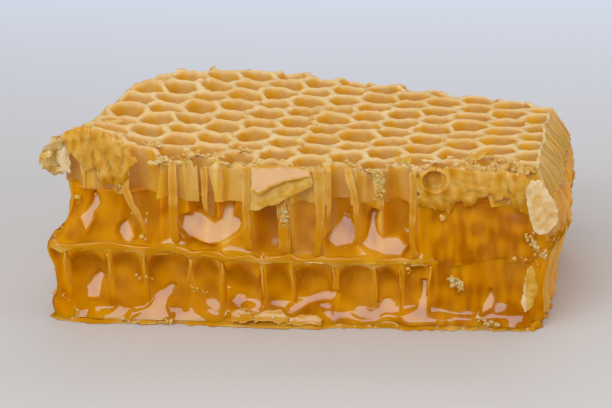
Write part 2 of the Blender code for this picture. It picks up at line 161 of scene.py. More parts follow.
def blurred(values, reach):
    """A closed run of values, blurred with a bell curve of this reach in mm, by way of its sine waves."""
    waves = np.fft.rfft(values, axis=0)
    pace = 2.0 * np.pi * np.arange(len(waves)) / len(values) * reach / STEP
    share_kept = np.exp(-0.5 * pace**2)
    return np.fft.irfft(waves * share_kept.reshape(-1, *[1] * (values.ndim - 1)), len(values), axis=0)


def cut_path():
    """Even steps along the outline of the plan with slightly rounded corners, and their outward normals."""
    dense = outline(300)
    closed = np.vstack([dense, dense[:1]])
    run = np.concatenate([[0.0], np.cumsum(np.hypot(*np.diff(closed, axis=0).T))])
    places = np.arange(int(run[-1] / STEP)) * (run[-1] / int(run[-1] / STEP))
    path = np.stack([np.interp(places, run, closed[:, axis]) for axis in (0, 1)], axis=1)
    path = blurred(path, 0.45)
    return path, outward_normals(blurred(path, 0.9))


def to_cut(places, ring):
    """For each place: the nearest point of the ring, the outward normal there, and how far inside it lies."""
    along = np.roll(ring, -1, axis=0) - ring
    rise = np.where(along[:, 1] == 0.0, 1.0, along[:, 1])
    outward = np.stack([along[:, 1], -along[:, 0]], axis=1) / np.linalg.norm(along, axis=1, keepdims=True)
    nearest, facing, inside = [], [], []
    for part in np.array_split(places, 1 + len(places) // 2000):
        to_place = part[:, None, :] - ring[None]
        share = np.clip((to_place * along).sum(2) / (along**2).sum(1), 0.0, 1.0)
        on_sides = ring[None] + share[:, :, None] * along
        side = ((part[:, None, :] - on_sides) ** 2).sum(2).argmin(axis=1)
        nearest.append(on_sides[np.arange(len(part)), side])
        facing.append(outward[side])
        starts_below = ring[:, 1] > part[:, None, 1]
        ends_below = np.roll(ring[:, 1], -1)[None] > part[:, None, 1]
        cross_x = ring[:, 0] + (part[:, None, 1] - ring[:, 1]) * along[:, 0] / rise
        crossings = ((starts_below != ends_below) & (part[:, None, 0] < cross_x)).sum(1)
        inside.append(crossings % 2 == 1)
    nearest = np.concatenate(nearest)
    distance = np.linalg.norm(places - nearest, axis=1)
    return nearest, np.concatenate(facing), np.where(np.concatenate(inside), distance, -distance)


def rim_height(x, y):
    """Height of the cell rims: rising to the left and the back, with a lifted front left corner."""
    to_left = np.clip((FRONT_RIGHT[0] - x) / 62.0, 0.0, 1.1)
    to_back = (y - FRONT_LEFT[1]) / 48.0
    corner = np.hypot(x - FRONT_LEFT[0], y - FRONT_LEFT[1]) / CORNER_REACH
    slope = RIM_LEFT_RISE * to_left**3 + to_back * (RIM_BACK_RISE * to_left**1.5 - RIM_BACK_FALL)
    return RIM_TOP + slope + CORNER_RISE * np.exp(-(corner**2))


def midrib_height(x, y):
    """Height of the middle of the midrib: two smooth steps along the front, each a tanh, and a slow wave."""
    fall = -MIDRIB_FALL * np.tanh((x + 12.0) / 5.5)
    rise = MIDRIB_RISE * (1.0 + np.tanh((x - 18.0) / 8.0))
    return MIDRIB_MIDDLE + fall + rise + 0.2 * np.sin(y / 5.0) * np.cos(x / 7.0)


def lean(z, table):
    """How far a side leans out at a height, read off its table of heights and distances."""
    heights, distances = np.array(table).T
    return np.interp(z, heights, distances)


def settle(points):
    """Moves nominal points to the real shape, up or down with the layers and out with the leaning sides,
    and brings the middle of the plan to the origin."""
    x, y, z = np.moveaxis(points, -1, 0)
    rim = rim_height(x, y) - RIM_TOP
    middle = midrib_height(x, y) - MIDRIB_MIDDLE
    lower = middle * np.clip(z / MIDRIB_MIDDLE, 0.0, 1.0)
    upper = np.clip((z - MIDRIB_MIDDLE) / (HONEY_LEVEL - MIDRIB_MIDDLE), 0.0, 1.0)
    top = np.clip((z - HONEY_LEVEL) / (RIM_TOP - HONEY_LEVEL), 0.0, None)
    z = z + lower * (1.0 - upper) + LEVEL_SHARE * rim * upper + (1.0 - LEVEL_SHARE) * rim * top
    left = way_between(-x, 8.0, 30.0) ** 2
    right = way_between(x, 8.0, 30.0) ** 2
    front = way_between(y, -8.0, -24.0) ** 2
    back = way_between(y, 4.0, 22.0) ** 2
    swell = 0.3 + 0.7 * way_between(y, FRONT_RIGHT[1], FRONT_RIGHT[1] + 12.6)
    x = x + right * swell * lean(z, RIGHT_LEAN) - left * lean(z, LEFT_LEAN)
    y = y + back * lean(z, BACK_LEAN) - front * lean(z, FRONT_LEAN)
    return np.stack([x - PLAN_MIDDLE[0], y - PLAN_MIDDLE[1], z], axis=-1)


# --- Meshes ---


def grid_faces(rows, columns, wrap_rows=False, wrap_columns=True):
    """Quads between neighbours of a grid of points that is listed row by row."""
    row = np.arange(rows if wrap_rows else rows - 1)[:, None]
    column = np.arange(columns if wrap_columns else columns - 1)[None]
    next_row, next_column = (row + 1) % rows, (column + 1) % columns
    corners = (row * columns + column, row * columns + next_column,
               next_row * columns + next_column, next_row * columns + column)
    return np.stack(corners, axis=-1).reshape(-1, 4)


def repeated(quads, count, points_each):
    """The same quads for each of so many bodies, whose points are listed body by body."""
    return (np.arange(count)[:, None, None] * points_each + quads[None]).reshape(-1, 4)


def piece(name, points, quads, slot, stands_for, attributes, crease=70.0, merge=0.0):
    """A finished piece: its mesh from arrays in mm, smooth up to a crease angle in degrees, with its
    attributes and the finish of its slot. Points nearer than merge are joined."""
    mesh = bpy.data.meshes.new(name)
    mesh.vertices.add(len(points))
    mesh.vertices.foreach_set("co", (points * MM).astype(np.float32).ravel())
    mesh.loops.add(quads.size)
    mesh.loops.foreach_set("vertex_index", quads.ravel().astype(np.int32))
    mesh.polygons.add(len(quads))
    mesh.polygons.foreach_set("loop_start", np.arange(0, quads.size, 4).astype(np.int32))
    for key, values in attributes.items():
        layer = mesh.attributes.new(key, "FLOAT", "POINT")
        layer.data.foreach_set("value", np.asarray(values, dtype=np.float32).ravel())
    mesh.update(calc_edges=True)
    if merge:
        bm = bmesh.new()
        bm.from_mesh(mesh)
        bmesh.ops.remove_doubles(bm, verts=bm.verts, dist=merge * MM)
        bmesh.ops.dissolve_degenerate(bm, edges=bm.edges, dist=0.2 * merge * MM)
        bm.to_mesh(mesh)
        bm.free()
    mesh.validate()
    mesh.polygons.foreach_set("use_smooth", np.ones(len(mesh.polygons), dtype=bool))
    mesh.set_sharp_from_angle(angle=math.radians(crease))
    mesh.materials.append(FINISHES[slot])
    made = bpy.data.objects.new(name, mesh)
    bpy.context.collection.objects.link(made)
    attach(made, "root")
    if stands_for:
        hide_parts(*stands_for)


# --- The lattice of cells ---


def cell_centres(shift_x=0.0):
    """Middles of the cells of the even lattice, one layer moved by shift_x against the other."""
    column_step = PITCH * math.cos(math.radians(30.0))
    return np.array([
        (CELL_ORIGIN[0] + shift_x + column * column_step, CELL_ORIGIN[1] + (row + 0.5 * (column % 2)) * PITCH)
        for column in COLUMNS for row in ROWS
    ])


def behind_front(y, reach):
    """1 at the front cut, and dying away behind it by a bell curve of this reach."""
    return bell(np.maximum(y - FRONT_LEFT[1], 0.0), reach)


def dragged(x, y, walls):
    """Where the knife's drag puts a place of the even lattice."""
    even, real = np.array(walls)
    return x + np.interp(x, even, real - even) * behind_front(y, DRAG_REACH)


def undragged(x, y, walls):
    """The place of the even lattice that the knife's drag put here."""
    even, real = np.array(walls)
    return x - np.interp(x, real, real - even) * behind_front(y, DRAG_REACH)


HALF_ROOT_3 = math.cos(math.radians(30.0))
HEXAGON_AXES = np.array([[0.0, 1.0], [HALF_ROOT_3, 0.5], [HALF_ROOT_3, -0.5]])


def wall_distance(places, shift_x, walls):
    """How far each place lies from the middle of the nearest cell wall."""
    even = np.stack([undragged(places[:, 0], places[:, 1], walls), places[:, 1]], axis=1)
    centres = cell_centres(shift_x)
    distance = []
    for part in np.array_split(even, 20):
        nearest = ((part[:, None] - centres[None]) ** 2).sum(2).argmin(1)
        offset = part - centres[nearest]
        distance.append(0.5 * PITCH - np.abs(offset @ HEXAGON_AXES.T).max(1))
    return np.concatenate(distance)


def deepest():
    """The deepest that a cut cell may be: on the right side the cut is nearly closed with wax."""
    side = soft_step(path[:, 0], 27.5, 28.5) * soft_step(path[:, 1], -22.5, -18.0)
    return 5.0 - 4.6 * side


class Channels:
    """The cells that the cuts opened, read along the path of the cuts.

    depth is how far in from the cut the next wall stands. across runs from -1 to 1 over each opening, and
    chance is one random number for each. walls holds the step at the middle of each cut wall. smeared is 1
    where the knife smeared the front shut: left of smeared_left, and right of SMEARED_RIGHT."""

    def __init__(self, shift_x, walls, half_wall, seed, smeared_left):
        reaches = np.arange(0.0, READ_REACH, READ_STEP)
        places = path[:, None] - reaches[None, :, None] * normals[:, None]
        distance = wall_distance(places.reshape(-1, 2), shift_x, walls)
        in_wall = (distance < half_wall).reshape(len(path), -1)
        in_wall[:, -1] = True
        self.depth = np.minimum(reaches[in_wall.argmax(1)], deepest())
        on_front = normals[:, 1] < ON_FRONT
        left = soft_step(-path[:, 0], -smeared_left - 0.5, -smeared_left + 0.5)
        right = soft_step(path[:, 0], SMEARED_RIGHT - 0.5, SMEARED_RIGHT + 0.5)
        self.smeared = blurred(on_front * np.maximum(left, right), 0.8)
        open_here = self.depth > 0.0
        starts = np.flatnonzero(open_here & ~np.roll(open_here, 1))
        self.across = np.zeros(len(path))
        self.walls = []
        random = np.random.default_rng(seed)
        self.chance = np.zeros(len(path))
        for start in starts:
            end = start
            while open_here[end % len(path)]:
                end += 1
            steps = np.arange(start, end) % len(path)
            self.across[steps] = np.linspace(-1.0, 1.0, len(steps))
            self.chance[steps] = random.uniform()
            stop = end
            while not open_here[stop % len(path)]:
                stop += 1
            if stop - end < WIDEST_CUT_WALL / STEP:
                self.walls.append((0.5 * (end + stop - 1)) % len(path))
        self.walls = np.array(self.walls)


path, normals = cut_path()
ring = path[::8]
upper = Channels(0.0, UPPER_WALLS, 0.3, 5, SMEARED_LEFT)
lower = Channels(LOWER_SHIFT, LOWER_WALLS, 0.22, 6, -99.0)


# --- Finishes ---


BUMP_STRENGTH = 0.7


class Finish:
    """A material under construction: nodes are made by type, and joined by from-socket and to-socket."""

    def __init__(self, name):
        self.material = bpy.data.materials.new(name)
        self.material.use_nodes = True
        self.tree = self.material.node_tree
        self.shader = self.tree.nodes["Principled BSDF"]
        self.place = self.tree.nodes.new("ShaderNodeTexCoord").outputs["Object"]

    def join(self, source, target):
        self.tree.links.new(source, target)

    def settings(self, **values):
        for key, value in values.items():
            self.shader.inputs[key.replace("_", " ")].default_value = value

    def noise(self, per_mm, detail=3.0, stretch=(1.0, 1.0, 1.0)):
        """Noise with this many waves to the millimetre, stretched along the axes."""
        mapping = self.tree.nodes.new("ShaderNodeMapping")
        mapping.inputs["Scale"].default_value = [1000.0 * per_mm * s for s in stretch]
        node = self.tree.nodes.new("ShaderNodeTexNoise")
        node.inputs["Scale"].default_value = 1.0
        node.inputs["Detail"].default_value = detail
        node.inputs["Roughness"].default_value = 0.55
        self.join(self.place, mapping.inputs["Vector"])
        self.join(mapping.outputs["Vector"], node.inputs["Vector"])
        return node.outputs["Fac"]

    def attribute(self, name):
        """An attribute of the mesh, as a grey."""
        node = self.tree.nodes.new("ShaderNodeAttribute")
        node.attribute_name = name
        return node.outputs["Fac"]

    def ramp(self, value, stops, smooth=False):
        """Colours or greys at places from 0 to 1."""
        node = self.tree.nodes.new("ShaderNodeValToRGB")
        ramp = node.color_ramp
        ramp.interpolation = "EASE" if smooth else "LINEAR"
        while len(ramp.elements) < len(stops):
            ramp.elements.new(1.0)
        for element, (position, color) in zip(ramp.elements, stops):
            element.position = position
            element.color = (*color, 1.0) if isinstance(color, tuple) else (color, color, color, 1.0)
        self.join(value, node.inputs["Fac"])
        return node.outputs["Color"]

    def patches(self, start, end, per_mm, detail=3.0, stretch=(1.0, 1.0, 1.0), smooth=False):
        """Noise that goes from 0 to 1 between two of its values."""
        return self.ramp(self.noise(per_mm, detail, stretch), [(start, 0.0), (end, 1.0)], smooth)

    def mix(self, share, first, second):
        """Two colours mixed, each a socket or a constant."""
        node = self.tree.nodes.new("ShaderNodeMix")
        node.data_type = "RGBA"
        for socket, value in ((node.inputs[0], share), (node.inputs[6], first), (node.inputs[7], second)):
            if isinstance(value, (tuple, float)):
                socket.default_value = (*value, 1.0) if isinstance(value, tuple) else value
            else:
                self.join(value, socket)
        return node.outputs[2]

    def sums(self, kind, first, second):
        """A sum or a product of two greys, each a socket or a constant."""
        node = self.tree.nodes.new("ShaderNodeMath")
        node.operation = kind
        for socket, value in zip(node.inputs, (first, second)):
            if isinstance(value, float):
                socket.default_value = value
            else:
                self.join(value, socket)
        return node.outputs[0]

    def bump(self, height, depth_mm):
        """Grain on the surface, this deep where the height goes from 0 to 1."""
        node = self.tree.nodes.new("ShaderNodeBump")
        node.inputs["Strength"].default_value = BUMP_STRENGTH
        node.inputs["Distance"].default_value = depth_mm * MM
        self.join(height, node.inputs["Height"])
        self.join(node.outputs["Normal"], self.shader.inputs["Normal"])


def dry_wax_finish():
    """Dry comb wax: pale straw rims, warmer and darker down the wells, with a fine grain. The attribute
    corner is a painted glow and painted shade, a deep yellow in the same corners of every well, and wet says
    how much honey coats a place."""
    made = Finish("dry_wax")
    # The small emission is a painted glow that stands in for light passing through the wax.
    made.settings(Roughness=0.42, Subsurface_Weight=0.4, Subsurface_Scale=0.25 * MM, IOR=1.44,
                  Emission_Strength=0.05)
    made.shader.inputs["Emission Color"].default_value = (0.80, 0.48, 0.16, 1.0)
    made.shader.inputs["Subsurface Radius"].default_value = (1.6, 0.8, 0.25)
    depth = made.attribute("depth")
    by_depth = made.ramp(depth, [
        (0.0, (0.80, 0.54, 0.22)), (0.04, (0.76, 0.47, 0.16)), (0.12, (0.70, 0.39, 0.10)),
        (0.6, (0.74, 0.39, 0.07)), (1.0, (0.70, 0.33, 0.03)),
    ])
    patches = made.patches(0.35, 0.7, 0.16, 2.0)
    warm = made.mix(patches, by_depth, made.mix(0.6, by_depth, (0.72, 0.38, 0.06)))
    specks = made.patches(0.5, 0.8, 1.2, 2.0)
    color = made.mix(specks, warm, made.mix(0.35, warm, (0.86, 0.60, 0.26)))
    # Painted glow and shade: the corner attribute mixes in a deep yellow.
    color = made.mix(made.attribute("corner"), color, (0.79, 0.375, 0.0))
    wet = made.attribute("wet")
    made.join(made.mix(wet, color, (0.60, 0.27, 0.03)), made.shader.inputs["Base Color"])
    made.join(made.ramp(wet, [(0.0, 0.42), (1.0, 0.12)]), made.shader.inputs["Roughness"])
    coarse = made.noise(1.2)
    made.bump(made.sums("ADD", coarse, made.sums("MULTIPLY", made.noise(5.0, 2.0), 0.2)), 0.10)
    return made.material


def honey_finish():
    """Honey over wax: the attribute honey says how much of it lies over the wax that shines through, and
    dry how dull it is. The small emission stands in for light that passes through."""
    made = Finish("honey")
    made.settings(Subsurface_Weight=0.6, Subsurface_Scale=1.2 * MM, IOR=1.49, Specular_IOR_Level=0.4,
                  Emission_Strength=0.10)
    made.shader.inputs["Emission Color"].default_value = (0.80, 0.26, 0.0, 1.0)
    made.shader.inputs["Subsurface Radius"].default_value = (2.6, 1.1, 0.12)
    honey = made.attribute("honey")
    color = made.ramp(honey, [
        (0.0, (0.64, 0.36, 0.10)), (0.3, (0.70, 0.35, 0.03)), (0.55, (0.66, 0.275, 0.003)),
        (0.8, (0.60, 0.23, 0.0)), (0.9, (0.50, 0.165, 0.0)), (1.0, (0.37, 0.10, 0.0)),
    ])
    clouds = made.patches(0.4, 0.72, 0.22, stretch=(1.0, 1.0, 0.5), smooth=True)
    color = made.mix(made.sums("MULTIPLY", clouds, 0.3), color, (0.66, 0.30, 0.03))
    streaks = made.patches(0.5, 0.75, 1.1, stretch=(1.0, 1.0, 0.16))
    color = made.mix(made.sums("MULTIPLY", streaks, 0.15), color, (0.70, 0.34, 0.05))
    made.join(color, made.shader.inputs["Base Color"])
    dry = made.attribute("dry")
    made.join(made.ramp(dry, [(0.0, 0.05), (1.0, 0.42)]), made.shader.inputs["Roughness"])
    made.bump(made.sums("MULTIPLY", made.noise(1.8), dry), 0.12)
    return made.material


def wet_wax_finish():
    """Wax that honey has soaked and coated: straw yellow, see-through at its edges, and shiny."""
    made = Finish("wet_wax")
    made.settings(Roughness=0.14, Subsurface_Weight=0.5, Subsurface_Scale=0.35 * MM, IOR=1.46)
    made.shader.inputs["Subsurface Radius"].default_value = (1.8, 0.8, 0.15)
    patches = made.patches(0.32, 0.68, 0.5, smooth=True)
    color = made.mix(patches, (0.72, 0.35, 0.03), (0.80, 0.44, 0.09))
    pale = made.patches(0.56, 0.78, 1.7)
    color = made.mix(made.sums("MULTIPLY", pale, 0.4), color, (0.84, 0.56, 0.24))
    color = made.mix(made.sums("MULTIPLY", made.attribute("edge"), 0.75), color, (0.86, 0.57, 0.22))
    soaked = made.attribute("soaked")
    made.join(made.mix(soaked, color, (0.62, 0.245, 0.003)), made.shader.inputs["Base Color"])
    made.bump(made.noise(1.4), 0.08)
    return made.material


def scrap_wax_finish():
    """Thin torn wax: pale, glossy, and lit through."""
    made = Finish("scrap_wax")
    made.settings(Roughness=0.12, Subsurface_Weight=0.5, Subsurface_Scale=0.2 * MM, IOR=1.46)
    made.shader.inputs["Subsurface Radius"].default_value = (1.8, 1.0, 0.35)
    patches = made.patches(0.35, 0.65, 0.7, smooth=True)
    golden = made.mix(patches, (0.66, 0.32, 0.02), (0.76, 0.44, 0.09))
    pale = made.mix(patches, (0.74, 0.46, 0.16), (0.84, 0.62, 0.34))
    made.join(made.mix(made.attribute("pale"), golden, pale), made.shader.inputs["Base Color"])
    made.bump(made.noise(1.2), 0.05)
    return made.material


FINISHES = {"dry_wax": dry_wax_finish(), "honey": honey_finish(), "wet_wax": wet_wax_finish(),
            "scrap_wax": scrap_wax_finish()}


# --- The open cells ---

CELL_ANGLES = 36
EDGE_STEPS = CELL_ANGLES // 6
# Down the inside of a wall: distance from the wall's middle, drop below the rim, and how round the cell is
WALL_PROFILE = np.array([
    (0.00, 0.00, 0.00), (0.20, 0.01, 0.15), (0.35, 0.05, 0.35), (0.46, 0.16, 0.58), (0.52, 0.38, 0.70),
    (0.53, 0.72, 0.72), (0.48, 1.15, 0.64), (0.39, 1.70, 0.52), (0.32, 2.30, 0.42), (0.28, 3.20, 0.34),
    (0.28, 9.00, 0.30), (0.00, 9.00, 0.00),
])
CLOSED_REACH = 2.6  # on the right side the cells that reach no further than this past the cut stay closed
CRUSH_REACH = 4.5


def crush(y):
    """How crushed the rims are: 1 at the front cut, and dying away behind it."""
    return behind_front(y, CRUSH_REACH)


def rim_bumps(x, y):
    """How far the rims stray up or down: a slow swell everywhere, and crushed, ragged rims by the front
    cut."""
    at = np.stack([x, y], axis=-1)
    slow = 0.10 * wander(at, 8.0, 21) + 0.05 * wander(at, 2.4, 22)
    return slow + crush(y) * (0.26 * wander(at, 2.8, 23) + 0.09 * wander(at, 1.1, 24) - 0.25)


def droop(inside, facing, on_cut):
    """How much lower the rims stand by the left and the back cut, where the knife rounded them off."""
    low = 0.9 * bell(np.maximum(inside, 0.0), 0.9) * soft_step(facing[..., 1], -0.6, 0.0)
    return low * (on_cut[..., 0] < 26.0)


def strayed(at):
    """Where a place of the even lattice really is: dragged by the knife, and a little astray."""
    x = dragged(at[..., 0], at[..., 1], UPPER_WALLS)
    amount = 0.07 + 0.22 * crush(at[..., 1])
    return np.stack([x + amount * wander(at, 3.0, 25), at[..., 1] + amount * wander(at, 3.0, 26)], axis=-1)


def cut_allowance(on_cut):
    """How far outside the cut a wall still counts as standing: a little everywhere, more on the right."""
    right = (on_cut[..., 0] > 27.0) & (on_cut[..., 1] > -21.0) & (on_cut[..., 1] < 13.0)
    return np.where(right, CLOSED_REACH, 0.06)


def wall_ends(corner_at):
    """Where each hexagon side that crosses the cut ends on it. corner_at is (cells, 6, 2).

    Gives the ends, which sides cross, and a shared end for each corner: the mean of the ends next to it."""
    on_cut, _, inside = to_cut(corner_at.reshape(-1, 2), ring)
    inside = (inside + cut_allowance(on_cut)).reshape(-1, 6)
    on_cut = on_cut.reshape(-1, 6, 2)
    after, after_inside = np.roll(corner_at, -1, axis=1), np.roll(inside, -1, axis=1)
    crosses = (inside > 0.0) != (after_inside > 0.0)
    share = inside / np.where(crosses, inside - after_inside, 1.0)
    ends = to_cut((corner_at + share[..., None] * (after - corner_at)).reshape(-1, 2), ring)[0]
    ends = ends.reshape(-1, 6, 2)
    key = np.round(corner_at.reshape(-1, 2) / 0.02).astype(int)
    number = np.unique(key, axis=0, return_inverse=True)[1].reshape(-1, 6)
    total = np.zeros((number.max() + 1, 3))
    for crossing, end in ((crosses, ends), (np.roll(crosses, 1, axis=1), np.roll(ends, 1, axis=1))):
        rows = np.concatenate([end * crossing[..., None], crossing[..., None]], axis=2)
        np.add.at(total, number.ravel(), rows.reshape(-1, 3))
    mean = total[:, :2] / np.maximum(total[:, 2:], 1.0)
    corner_end = np.where((total[:, 2] > 0.0)[number][..., None], mean[number], on_cut)
    return ends, crosses, corner_end


def make_open_cells():
    """The wax walls round the open cells. Each cell is a ring of angles times a profile that goes from the
    shared crest over the rim, down the wall and out to the shared foot. A wall that crosses a cut is drawn
    in to its end there and down to the foot, which leaves the cut cells open with their walls cut off.
    The radius crosses over from the hexagon 1 / cos(angle) to a circle by the profile's roundness."""
    centres = cell_centres()
    middle_inside = to_cut(centres, ring)[2]
    centres = centres[middle_inside > -1.15 * PITCH]
    random = np.random.default_rng(31)
    shift = random.uniform(-0.12, 0.12, (len(centres), 1, 1, 2))
    growth = random.uniform(-0.16, 0.10, (len(centres), 1, 1))
    rounder = random.uniform(-0.1, 0.35, (len(centres), 1, 1))
    angles = np.arange(CELL_ANGLES) * 2.0 * np.pi / CELL_ANGLES
    around = angles % math.radians(60.0) - math.radians(30.0)
    hexagon = 1.0 / np.cos(around)
    offset, drop, roundness = WALL_PROFILE.T
    own = np.where(offset > 0.0, np.minimum(offset / 0.3, 1.0), 0.0)[None, :, None]
    share_round = np.clip(roundness[None, :, None] * (1.0 + rounder), 0.0, 0.95) * (own > 0.0)
    inner = 0.5 * PITCH - offset[None, :, None] + growth * own
    radius = inner * ((1.0 - share_round) * hexagon + share_round * 1.05)
    turn = np.stack([np.cos(angles), np.sin(angles)], axis=1)
    plan = centres[:, None, None] + shift * own[..., None] + radius[..., None] * turn[None, None]
    crest = centres[:, None] + 0.5 * PITCH * hexagon[None, :, None] * turn[None]
    plan, crest = strayed(plan), strayed(crest)
    ends, crosses, corner_end = wall_ends(crest[:, ::EDGE_STEPS])
    crest_on_cut, crest_facing, crest_inside = to_cut(crest.reshape(-1, 2), ring)
    crest_on_cut, crest_inside = crest_on_cut.reshape(crest.shape), crest_inside.reshape(crest.shape[:2])
    side = np.arange(CELL_ANGLES) // EDGE_STEPS
    drawn = np.where(crosses[:, side][..., None], ends[:, side], crest_on_cut)
    drawn[:, ::EDGE_STEPS] = corner_end
    fallen = droop(crest_inside, crest_facing.reshape(crest.shape), crest_on_cut)
    crest_stands = crest_inside > -cut_allowance(crest_on_cut)
    held = np.where((crest_inside < 0.12)[..., None], crest_on_cut, crest)
    crest_at = np.where(crest_stands[..., None], held, drawn)

    shape = plan.shape[:3]
    rows = len(offset)

    def over_cells(values):
        return np.broadcast_to(values, shape).ravel()

    flat = plan.reshape(-1, 2)
    on_cut, facing, inside = to_cut(flat, ring)
    foot = HONEY_LEVEL - 0.12
    spread = np.broadcast_to(crest_at[:, None], plan.shape).reshape(-1, 2)
    top_at = np.broadcast_to(crest[:, None], plan.shape).reshape(-1, 2)
    top = RIM_TOP + rim_bumps(top_at[:, 0], top_at[:, 1]) - over_cells(fallen[:, None])
    offsets = over_cells(offset[None, :, None])
    z = np.maximum(top - over_cells(drop[None, :, None]), foot)
    stands = inside > -cut_allowance(on_cut)
    right = cut_allowance(on_cut) > 1.0
    inset = 0.7 * offsets + right * 0.08 * (1.0 + wander(on_cut, 1.5, 29)).clip(0.0, None)
    pressed = inside < inset
    flat = np.where(pressed[:, None], on_cut - inset[:, None] * facing, flat)
    flat = np.where(stands[:, None], flat, spread)
    z = np.where(stands, z, foot)
    level = over_cells(np.arange(rows)[None, :, None])
    shared = (level == 0) | (level == rows - 1)
    flat = np.where(shared[:, None], spread, flat)
    crest_up = over_cells(crest_stands[:, None])
    z = np.where(level == 0, np.where(crest_up, top, foot), z)
    depth = np.clip((top - z) / (RIM_TOP - foot), 0.0, 1.0)
    points = settle(np.column_stack([flat, z]))
    quads = repeated(grid_faces(rows, CELL_ANGLES)[:, ::-1], len(centres), rows * CELL_ANGLES)
    wet = 0.6 * soft_step(wander(points, 6.0, 27), 0.6, 1.6) * soft_step(-points[:, 1], 14.0, 23.0)
    # Painted glow and shade: a deep yellow in the same two corners of every well, below the rim, where light
    # falls through the wax and shade gathers.
    turned = bell(angles - 2.45, 0.5) + 0.7 * bell(angles - 0.7, 0.3)
    corner = over_cells(turned[None, None]) * soft_step(depth, 0.02, 0.12)
    corner = np.clip(corner * (1.35 + 0.35 * wander(points, 5.0, 28)), 0.0, 1.0)
    depth = depth * (1.0 - 0.8 * soft_step(on_cut[:, 0], 27.4, 28.2) * soft_step(-inside, -0.9, -0.3))
    piece("wax_cells", points, quads, "dry_wax", ("cells_open",),
          {"depth": depth, "wet": wet, "corner": corner}, crease=60.0, merge=0.012)


# --- Places on the front cut, as they are read off it ---

on_front_cut = normals[:, 1] < ON_FRONT
FRONT_ORDER = np.flatnonzero(on_front_cut)[np.argsort(path[on_front_cut, 0])]


def on_front(x, z, out=0.0):
    """Points at these real places of the front cut, standing out by so much. Settling is undone step by
    step: the nominal place moves by what its settled place still misses."""
    x, z = np.broadcast_arrays(np.asarray(x, dtype=float), np.asarray(z, dtype=float))
    target = np.stack([x - PLAN_MIDDLE[0], z], axis=-1)
    nominal = np.stack([x, z], axis=-1)
    for _ in range(12):
        y = np.interp(nominal[..., 0], path[FRONT_ORDER, 0], path[FRONT_ORDER, 1])
        at = settle(np.stack([nominal[..., 0], y, nominal[..., 1]], axis=-1))
        nominal = nominal + target - at[..., [0, 2]]
    at[..., 1] -= out
    return at


def read_evenly(polyline, count):
    """This many points at even steps along a polyline, whose columns may be more than two."""
    polyline = np.asarray(polyline, dtype=float)
    run = np.concatenate([[0.0], np.cumsum(np.hypot(*np.diff(polyline[:, :2], axis=0).T))])
    at = np.linspace(0.0, run[-1], count)
    return np.stack([np.interp(at, run, column) for column in polyline.T], axis=1)


SHEET_SLOTS = {"soaked": "wet_wax", "pale": "scrap_wax"}


def sheet(name, upper_edge, lower_edge, out, thickness, seed, attribute, ragged, relief, stands_for=(),
          columns=120, rows=32):
    """A closed thin sheet on the front, between an upper and a lower edge that run from left to right.

    Its two faces lie half a thickness to either side of out(x, z) plus smooth noise, and meet all round:
    the thickness goes with the root of 1 - u^6 times the root of 1 - v^6, u and v from -1 to 1 across it.
    The attribute is soaked or pale with its function of the place, and decides the slot."""
    share = np.linspace(0.0, 1.0, rows)[:, None, None]
    first, last = read_evenly(upper_edge, columns), read_evenly(lower_edge, columns)
    flat = first[None] * (1.0 - share) + last[None] * share
    stray = [wander(flat, 1.8, seed + k) + 0.5 * wander(flat, 0.7, seed + 2 + k) for k in range(2)]
    flat = flat + ragged * np.stack(stray, axis=-1)
    across = np.linspace(-1.0, 1.0, columns)[None]
    down = np.linspace(-1.0, 1.0, rows)[:, None]
    half = 0.5 * thickness * np.sqrt((1.0 - across**6) * (1.0 - down**6))
    level = out(flat[..., 0], flat[..., 1])
    drawn = flat * np.array([1.0, 0.35])
    level = level + relief * (wander(drawn, 3.2, seed + 4) + 0.45 * wander(flat, 1.3, seed + 5))
    faces = [on_front(flat[..., 0], flat[..., 1], level + side * half) for side in (1.0, -1.0)]
    points = np.concatenate([face.reshape(-1, 3) for face in faces])
    quads = grid_faces(rows, columns, wrap_columns=False)
    quads = np.concatenate([quads[:, ::-1], quads + rows * columns])
    values = {attribute[0]: attribute[1](np.concatenate([flat.reshape(-1, 2)] * 2))}
    piece(name, points, quads, SHEET_SLOTS[attribute[0]], stands_for, values, merge=0.002)


def lumps(name, places, sizes, seed, pale, uneven, squash=1.0):
    """Crumbs, drops and bubbles: spheres whose radius strays with smooth noise of the direction."""
    random = np.random.default_rng(seed)
    rows, columns = 9, 12
    tilt = np.linspace(-0.5 * np.pi, 0.5 * np.pi, rows)[:, None]
    turn = (np.arange(columns) * 2.0 * np.pi / columns)[None]
    direction = np.stack(np.broadcast_arrays(np.cos(tilt) * np.cos(turn), np.cos(tilt) * np.sin(turn),
                                             np.sin(tilt)), axis=-1)
    direction[[0, -1], :, :2] = 0.0
    own = random.uniform(0.0, 90.0, (len(places), 1, 1, 3))
    radius = sizes[:, None, None] * (1.0 + uneven * wander(direction[None] + own, 2.4, seed))
    points = places[:, None, None] + radius[..., None] * direction[None] * np.array([1.0, 1.0, squash])
    quads = repeated(grid_faces(rows, columns), len(places), rows * columns)
    piece(name, points.reshape(-1, 3), quads, "scrap_wax", (), {"pale": np.repeat(pale, rows * columns)},
          merge=0.0015)


# --- The honey of both layers ---


def along_path(z, rows):
    """The points of the path of the cuts at these heights, row by row."""
    plan = np.broadcast_to(path[None], (rows, len(path), 2))
    return np.concatenate([plan, np.broadcast_to(z, (rows, len(path)))[..., None]], axis=2)


